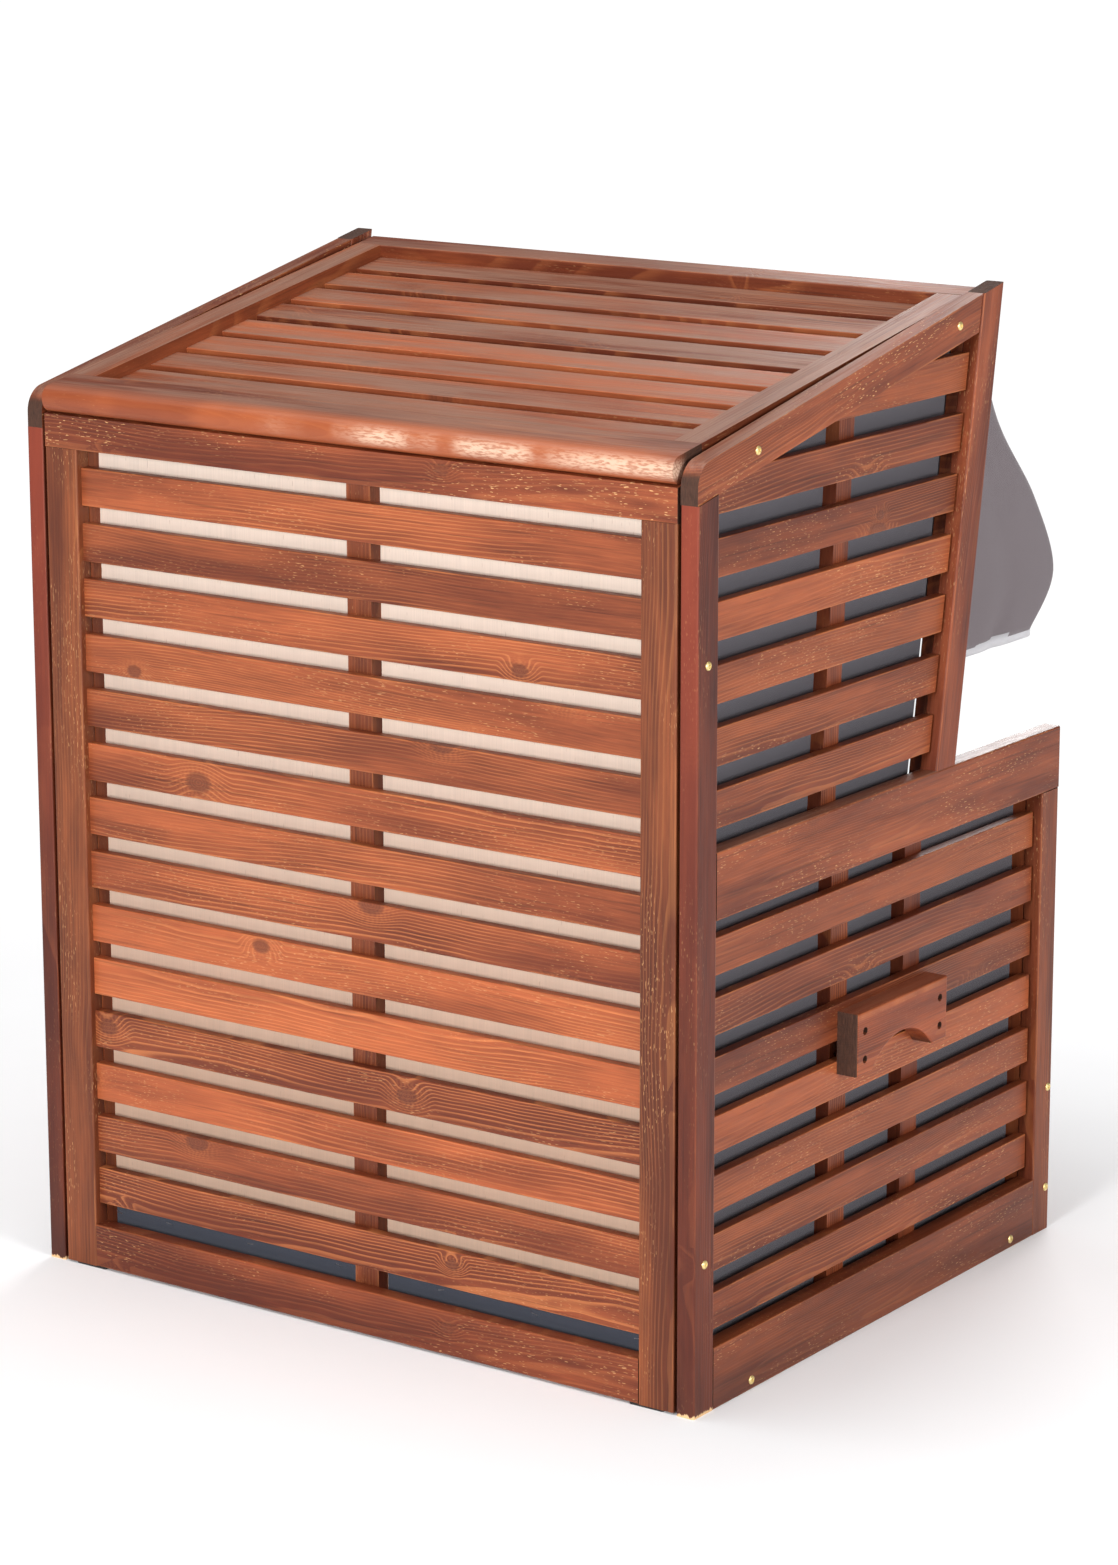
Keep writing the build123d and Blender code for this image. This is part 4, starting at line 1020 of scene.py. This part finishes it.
def cushion(name, node, body, turn, inset, body_slot, rise):
    """A stuffed cushion in the place of its CAD block, with piping on its top and bottom edges."""
    settings = scene.chair_cloth
    spin = Matrix.Rotation(turn, 3, "X")
    back = spin.inverted()
    corners = [spin @ v.co for v in nodes[node].data.vertices]
    low = Vector([min(c[i] for c in corners) for i in range(3)])
    high = Vector([max(c[i] for c in corners) for i in range(3)])
    low += Vector((0.001, inset, 0.0))
    high -= Vector((0.001, inset, 0.0))
    shrink = Vector((0.009, 0.009, 0.006))
    cell = 0.009
    piece = rounded_block(name, low + shrink, high - shrink, min(0.02, (high.z - low.z) * 0.28), cell)
    filled(piece, settings.pressure, min(settings.swell, rise * 1.8))
    for vertex in piece.data.vertices:
        vertex.co.x = min(max(vertex.co.x, low.x), high.x)
        vertex.co.y = min(max(vertex.co.y, low.y), high.y)
        vertex.co.z = min(max(vertex.co.z, low.z + 0.0006), high.z + 0.008)
    smooth = piece.modifiers.new("Smooth", "SMOOTH")
    smooth.factor, smooth.iterations = 0.5, 3
    baked(piece)
    surface = BVHTree.FromObject(piece, bpy.context.evaluated_depsgraph_get())
    centre, half = (low + high) / 2, (high - low) / 2
    points, edges = [], []
    count = 120
    for level in (0.8, -0.8):
        first = len(points)
        for step in range(count):
            angle = 2 * pi * step / count
            corner = max(abs(cos(angle)), abs(sin(angle)))
            square = Vector((cos(angle) / corner, sin(angle) / corner, 0))
            soft = 0.93 / max(0.93, (abs(square.x) ** 9 + abs(square.y) ** 9) ** (1 / 9))
            start = centre + Vector(
                (square.x * half.x * 1.2 * soft, square.y * half.y * 1.2 * soft, half.z * level))
            hit = surface.find_nearest(start)
            points.append(hit[0] + hit[1] * settings.piping * 0.25)
            edges.append((first + step, first + (step + 1) % count))
    smoothed = points[:]
    for _ in range(2):
        for first in (0, count):
            ring = smoothed[first:first + count]
            for i in range(count):
                smoothed[first + i] = (ring[i - 1] + ring[i] * 2 + ring[(i + 1) % count]) / 4
    piece.data.transform(back.to_4x4())
    subdivision = piece.modifiers.new("Smooth skin", "SUBSURF")
    subdivision.levels = subdivision.render_levels = 1
    mesh = baked(piece)
    outward(mesh)
    for face in mesh.polygons:
        face.use_smooth = True
    mesh.materials.clear()
    mesh.materials.append(named_cloth("cushion_cover"))
    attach(piece, body)
    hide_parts(node)
    cord = by_tree(f"{name}_piping", "Piping", [back @ p for p in smoothed], edges, {
        "Radius": settings.piping, "Spacing": 0.01, "Material": named_cloth("piping_cord")}, body)


class CHAIR_OT_cushions(bpy.types.Operator):
    """Fills and pipes the seat, back and footrest cushions"""

    bl_idname = "chair.cushions"
    bl_label = "Fill the cushions"

    def execute(self, context):
        lean = 0.085 * (300 - 75) / (1240 - 352)
        for side, _ in SIDES:
            cushion(f"{side}_seat_pad", f"{side}_seat_cushion", "chair", 0.0, 0.0, "cushion_cloth", 0.012)
            cushion(f"{side}_foot_pad", f"{side}_footrest_cushion", f"{side}_footrest", 0.0, 0.0,
                "cushion_cloth", 0.006)
            cushion(f"{side}_back_pad", f"{side}_back_cushion", "chair", BACKREST_TURN - pi / 2, lean,
                    "cushion_cloth", 0.014)
        return {"FINISHED"}


def lining_panel(name, node):
    """A cloth-covered board with soft edges, in the place of its CAD board."""
    source = nodes[node].data
    work = bmesh.new()
    work.from_mesh(source)
    bmesh.ops.remove_doubles(work, verts=work.verts, dist=1e-5)
    bmesh.ops.dissolve_limit(work, angle_limit=0.02, verts=work.verts, edges=work.edges)
    bmesh.ops.bevel(work, geom=work.edges[:], offset=0.0022, segments=2, profile=0.5, affect="EDGES")
    bmesh.ops.triangulate(work, faces=[f for f in work.faces if len(f.verts) > 4])
    mesh = bpy.data.meshes.new(name)
    work.to_mesh(mesh)
    work.free()
    piece = bpy.data.objects.new(name, mesh)
    scene.collection.objects.link(piece)
    outward(mesh)
    for face in mesh.polygons:
        face.use_smooth = face.area < 0.004
    mesh.materials.clear()
    mesh.materials.append(named_cloth("lining_canvas"))
    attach(piece, "chair")
    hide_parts(node)
    return piece


class CHAIR_OT_linings(bpy.types.Operator):
    """Covers the inside panels in cloth and wraps the foot of the back board"""

    bl_idname = "chair.linings"
    bl_label = "Cover the linings"

    def execute(self, context):
        for side, _ in SIDES:
            lining_panel(f"{side}_hood_panel", f"{side}_hood_lining")
            lining_panel(f"{side}_base_panel", f"{side}_base_lining")
        lining_panel("roof_panel", "roof_lining")
        low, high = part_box("back_board")
        rear, foot = high.y, low.z
        thick = 0.0009
        profile = [(rear, 0.0875), (rear + thick, 0.0865), (rear + thick, 0.07),
            (rear + thick, foot - thick * 0.2),
                   (rear, foot - thick), (low.y, foot - thick), (low.y - thick, foot), (low.y - thick, 0.10),
                   (low.y, 0.1008)]
        points, faces = [], []
        spans = ((-0.536, -0.0225), (0.0225, 0.536))
        for start, end in spans:
            first = len(points)
            columns = 60
            for column in range(columns + 1):
                x = start + (end - start) * column / columns
                slack = 0.0007 * sin(x * 61) + 0.0005 * sin(x * 143 + 1)
                for row, (y, z) in enumerate(profile):
                    points.append((x, y, z + (slack if row < 2 else 0)))
            rows = len(profile)
            for column in range(columns):
                for row in range(rows - 1):
                    a = first + column * rows + row
                    faces.append((a, a + 1, a + rows + 1, a + rows))
        wrap = new_piece("board_wrap", points, faces, named_cloth("wrap_canvas"))
        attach(wrap, "chair")
        places = [(-0.47, 0.079), (-0.29, 0.078), (-0.12, 0.0795), (0.07, 0.079), (0.24, 0.0785),
            (0.4, 0.079), (0.5, 0.0775)]
        wire = worn_material("staple_wire", srgb(206, 208, 212), srgb(120, 116, 112), 1.0, 0.3, 0.2, 200.0)
        staples = by_tree("wrap_staples", "Staples", [(x, rear + thick + 0.0002, z) for x, z in places], [], {
            "Length": 0.011, "Wire": 0.001, "Tilt": 0.3, "Seed": 4, "Material": wire}, "chair")
        return {"FINISHED"}


def awning_outline():
    """The awning's side outline in millimetres, as depth and height: its head, sag, bow, belly and hem."""
    cloth = scene.chair_cloth
    low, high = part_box("awning_cloth")
    rod_front, rod_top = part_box("awning_bow")
    corners = [v.co for v in nodes["awning_cloth"].data.vertices]
    slack = 0.001
    head_depth = (REAR_Y - min(c.y for c in corners if c.z > high.z - slack)) * 1000
    hem_depth = (REAR_Y - min(c.y for c in corners if c.z < low.z + slack)) * 1000
    head = Vector((head_depth, high.z * 1000))
    bow = Vector(((REAR_Y - rod_front.y + cloth.lift) * 1000, rod_top.z * 1000))
    along = (bow - head).normalized()
    sag = (head + bow) / 2 + Vector((along.y, -along.x)) * cloth.sag * 1000
    belly = Vector(((REAR_Y - low.y) * 1000, (low.z + cloth.belly) * 1000))
    hem = Vector((hem_depth, low.z * 1000))
    return [tuple(point) for point in (head, sag, bow, belly, hem)]


def smooth_profile(points, count):
    """Evenly spaced points on a soft curve through a few."""
    dense = []
    padded = [points[0], *points, points[-1]]
    for a, b, c, d in zip(padded, padded[1:], padded[2:], padded[3:]):
        for step in range(12):
            t = step / 12
            dense.append(tuple(
                0.5 * (2 * q + (r - p) * t + (2 * p - 5 * q + 4 * r - s) * t * t + (
                    3 * q - p - 3 * r + s) * t ** 3)
                for p, q, r, s in zip(a, b, c, d)))
    dense.append(points[-1])
    lengths = [0.0]
    for a, b in zip(dense, dense[1:]):
        lengths.append(lengths[-1] + hypot(b[0] - a[0], b[1] - a[1]))
    result, k = [], 0
    for i in range(count):
        want = lengths[-1] * i / (count - 1)
        while k < len(lengths) - 2 and lengths[k + 1] < want:
            k += 1
        share = (want - lengths[k]) / max(lengths[k + 1] - lengths[k], 1e-9)
        result.append(tuple(p + (q - p) * share for p, q in zip(dense[k], dense[k + 1])))
    return result, lengths[-1]


def bump_at(value, centre, width):
    return exp(-(((value - centre) / width) ** 2))


AWNING_ROWS = 64
AWNING_HALF = 568.5
AWNING_CORNER = 46.0


class CHAIR_OT_awning(bpy.types.Operator):
    """Hangs the awning cloth over its bow, with flaps, folds, hem tape and stitches"""

    bl_idname = "chair.awning"
    bl_label = "Hang the awning"

    def execute(self, context):
        rows = AWNING_ROWS
        profile, length = smooth_profile(awning_outline(), rows)
        half, corner = AWNING_HALF, AWNING_CORNER
        flap, bend, front = 26, 10, 130
        points = []
        for level, (depth, z) in enumerate(profile):
            v = level / (rows - 1)
            rear = 694 + 0.1617 * (z - 814) - 10
            rear = min(rear, depth - 4)
            radius = min(corner, depth - rear - 2)
            run = []
            for i in range(flap):
                run.append((1.0, rear + (depth - radius - rear) * i / flap, i / flap, 0))
            for i in range(bend):
                turn = pi / 2 * i / bend
                run.append((1.0 - (radius - radius * cos(turn)) / half, depth - radius + radius * sin(turn),
                    1, turn))
            side = [(x * half, d, u, turn) for x, d, u, turn in run]
            across = []
            edge = half - radius
            for i in range(front + 1):
                x = edge - 2 * edge * i / front
                across.append((x, depth, 1, pi / 2))
            contour = side + across + [(-x, d, u, turn) for x, d, u, turn in reversed(side)]
            for x, d, u, turn in contour:
                sag = bump_at(v, 0.3, 0.2) * (1 - (x / half) ** 2) * 9
                low = max(0.0, (v - 0.45) / 0.55)
                wave = sin(x * 0.031 + 0.9 * sin(x * 0.011)) + 0.5 * sin(x * 0.067 + 1.3)
                fold = wave * 3.2 * low * low * sin(turn)
                flap_fold = (3.5 * bump_at(u, 0.42 + 0.16 * v, 0.1) + 2.5 * bump_at(u, 0.8 - 0.2 * v,
                    0.09)) * (1 - u) ** 0.3
                flap_fold = 0.0 if turn or u >= 1 else flap_fold * (0.35 + 0.65 * v) * min(1,
                    (depth - rear) / 90)
                inwards = flap_fold + (2.5 * low * (1 - u) if not turn else 0)
                x_new = x - (1 if x > 0 else -1) * inwards if abs(x) > edge else x
                points.append(at(x_new, d - max(sag, 0) - max(0.0, fold), z))
        columns = len(contour)
        faces = []
        for level in range(rows - 1):
            for column in range(columns - 1):
                a = level * columns + column
                faces.append((a, a + columns, a + columns + 1, a + 1))
        awning = new_piece("awning_sheet", points, faces, named_cloth("awning_canvas"))
        shell = awning.modifiers.new("Thickness", "SOLIDIFY")
        shell.thickness, shell.offset = 0.0012, -1
        mesh = baked(awning)
        outward(mesh)
        for face in mesh.polygons:
            face.use_smooth = True
        hem_points, hem_faces = [], []
        last = points[-columns:]
        for lower, out in ((0.006, 0.0006), (-0.004, 0.0008), (-0.011, 0.0002)):
            for column, point in enumerate(last):
                ahead, behind = last[min(column + 1, columns - 1)], last[max(column - 1, 0)]
                run = (ahead - behind).normalized()
                normal = Vector((run.y, -run.x, 0))
                if normal.dot(point - at(0, 800, point.z * 1000)) < 0:
                    normal = -normal
                ripple = 0.0014 * sin(column * 0.31) if lower < 0 else 0
                hem_points.append(point + normal * (out + ripple * 0.5) + Vector((0, 0, lower)))
        for row in range(2):
            for column in range(columns - 1):
                a = row * columns + column
                hem_faces.append((a, a + columns, a + columns + 1, a + 1))
        hem = new_piece("awning_hem", hem_points, hem_faces, named_cloth("hem_tape"))
        tape = hem.modifiers.new("Thickness", "SOLIDIFY")
        tape.thickness, tape.offset = 0.001, 0
        baked(hem)
        outward(hem.data)
        seam_points, seam_edges = [], []
        for rise in (3, 6):
            line = points[(rows - rise) * columns:(rows - rise + 1) * columns]
            first = len(seam_points)
            seam_points += [p + (p - at(0, 850, p.z * 1000)).normalized() * 0.0004 for p in line]
            seam_edges += [(first + i, first + i + 1) for i in range(columns - 1)]
        seams = by_tree("awning_stitches", "Stitches", seam_points, seam_edges, {
            "Pitch": 0.006, "Length": 0.004, "Thread": 0.0004, "Material": named_cloth("thread")}, "chair")
        for piece in (awning, hem, seams):
            if piece.parent:
                piece.parent = None
                del piece["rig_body"]
            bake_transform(piece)
        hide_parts("awning_cloth")
        return {"FINISHED"}


# Stage


class CHAIR_OT_stage(bpy.types.Operator):
    """Sets the pale floor, the soft studio light and the camera"""

    bl_idname = "chair.stage"
    bl_label = "Set the stage"

    def area(self, name, place, aim, size, power, colour=(1, 1, 1)):
        data = bpy.data.lights.new(name, "AREA")
        data.shape, data.size, data.size_y, data.energy, data.color = "RECTANGLE", size[0], size[
            1], power, colour
        light = bpy.data.objects.new(name, data)
        scene.collection.objects.link(light)
        light.location = place
        light.rotation_mode = "QUATERNION"
        light.rotation_quaternion = (Vector(aim) - Vector(place)).to_track_quat("-Z", "Y")

    def execute(self, context):
        stage = scene.chair_stage
        reach = 40.0
        floor = new_piece(
            "studio_floor", [(-reach, -reach, 0), (reach, -reach, 0), (reach, reach, 0), (-reach, reach, 0)],
            [(0, 1, 2, 3)], None, smooth=False)
        floor.data.materials.clear()
        material, net, shader, point, _ = new_material("studio_white")
        tone = net.noise(point, (6, 6, 6), 4.0)
        net.tree.links.new(net.tint(srgb(250, 250, 251), net.fit(tone, 0.03, 0.985)),
            shader.inputs["Base Color"])
        shader.inputs["Roughness"].default_value = 0.9
        shader.inputs["Specular IOR Level"].default_value = 0.1
        x, y, _ = net.split(point)[:3]
        away = net.maths("SQRT", net.plus(net.times(x, x), net.times(y, y)))
        glow = net.add("ShaderNodeEmission", {"Color": (1, 1, 1, 1), "Strength": 1.05})
        fade = net.add("ShaderNodeMixShader",
            {0: net.step(away, 1.3, 3.0), 1: shader.outputs[0], 2: glow.outputs[0]})
        net.tree.links.new(fade.outputs[0], material.node_tree.nodes["Material Output"].inputs["Surface"])
        floor.data.materials.append(material)

        world = bpy.data.worlds.new("Studio")
        scene.world = world
        world.use_nodes = True
        net = Nodes(world.node_tree)
        background = world.node_tree.nodes["Background"]
        background.inputs["Color"].default_value = (1, 1, 1, 1)
        seen = net.add("ShaderNodeLightPath").outputs["Is Camera Ray"]
        strength = net.fit(seen, 1.05 - stage.sky, stage.sky)
        net.tree.links.new(strength, background.inputs["Strength"])

        self.area("key", (-1.0, 6.6, 2.35), (0, 0.3, 0.7), (1.5, 1.5), stage.key)
        self.area("fill", (-6.2, 1.8, 2.2), (-0.2, 0, 0.7), (1.8, 1.8), stage.fill)
        self.area("ceiling", (0.4, 0.8, 5.4), (0, 0, 0.8), (4.0, 4.0), stage.ceiling)
        self.area("front", (1.5, -5.5, 2.6), (0, 0, 0.8), (3.0, 2.5), stage.fill)

        camera = bpy.data.objects.new("camera", bpy.data.cameras.new("camera"))
        scene.collection.objects.link(camera)
        scene.camera = camera
        a, e = stage.azimuth, stage.elevation
        away = Vector((sin(a) * cos(e), -cos(a) * cos(e), sin(e)))
        right = (-away).cross(Vector((0, 0, 1))).normalized()
        over = right.cross(-away)
        c, s = cos(stage.roll), sin(stage.roll)
        side, top = right * c + over * s, over * c - right * s
        camera.rotation_mode = "QUATERNION"
        camera.rotation_quaternion = Matrix((side, top, away)).transposed().to_quaternion()
        camera.location = Vector(stage.aim) + away * stage.distance
        camera.data.lens = stage.lens
        camera.data.sensor_width = 36
        scene.view_settings.view_transform = "Standard"
        return {"FINISHED"}


# Panel and registration


class CHAIR_PT_panel(bpy.types.Panel):
    """Steps and settings of the beach chair"""

    bl_label = "Beach Chair"
    bl_idname = "CHAIR_PT_panel"
    bl_space_type = "VIEW_3D"
    bl_region_type = "UI"
    bl_category = "Beach Chair"

    def draw(self, context):
        for step in STEPS:
            self.layout.operator(step.bl_idname)
        for name, kind in SETTINGS:
            box = self.layout.box()
            for key in kind.__annotations__:
                box.prop(getattr(context.scene, name), key)


SETTINGS = (("chair_wood", WoodSettings), ("chair_cloth", ClothSettings), ("chair_screws", ScrewSettings),
            ("chair_stage", StageSettings))
STEPS = (CHAIR_OT_wood, CHAIR_OT_boards, CHAIR_OT_metal, CHAIR_OT_screws, CHAIR_OT_linings, CHAIR_OT_awning,
         CHAIR_OT_cushions, CHAIR_OT_stage)


def register():
    for name, kind in SETTINGS:
        bpy.utils.register_class(kind)
        setattr(bpy.types.Scene, name, bpy.props.PointerProperty(type=kind))
    for step in (*STEPS, CHAIR_PT_panel):
        bpy.utils.register_class(step)


def unregister():
    for step in reversed((*STEPS, CHAIR_PT_panel)):
        bpy.utils.unregister_class(step)
    for name, kind in reversed(SETTINGS):
        delattr(bpy.types.Scene, name)
        bpy.utils.unregister_class(kind)


def main():
    register()
    bpy.ops.chair.wood()
    bpy.ops.chair.boards()
    bpy.ops.chair.metal()
    bpy.ops.chair.screws()
    bpy.ops.chair.linings()
    bpy.ops.chair.awning()
    bpy.ops.chair.cushions()
    bpy.ops.chair.stage()


if __name__ == "__main__":
    main()
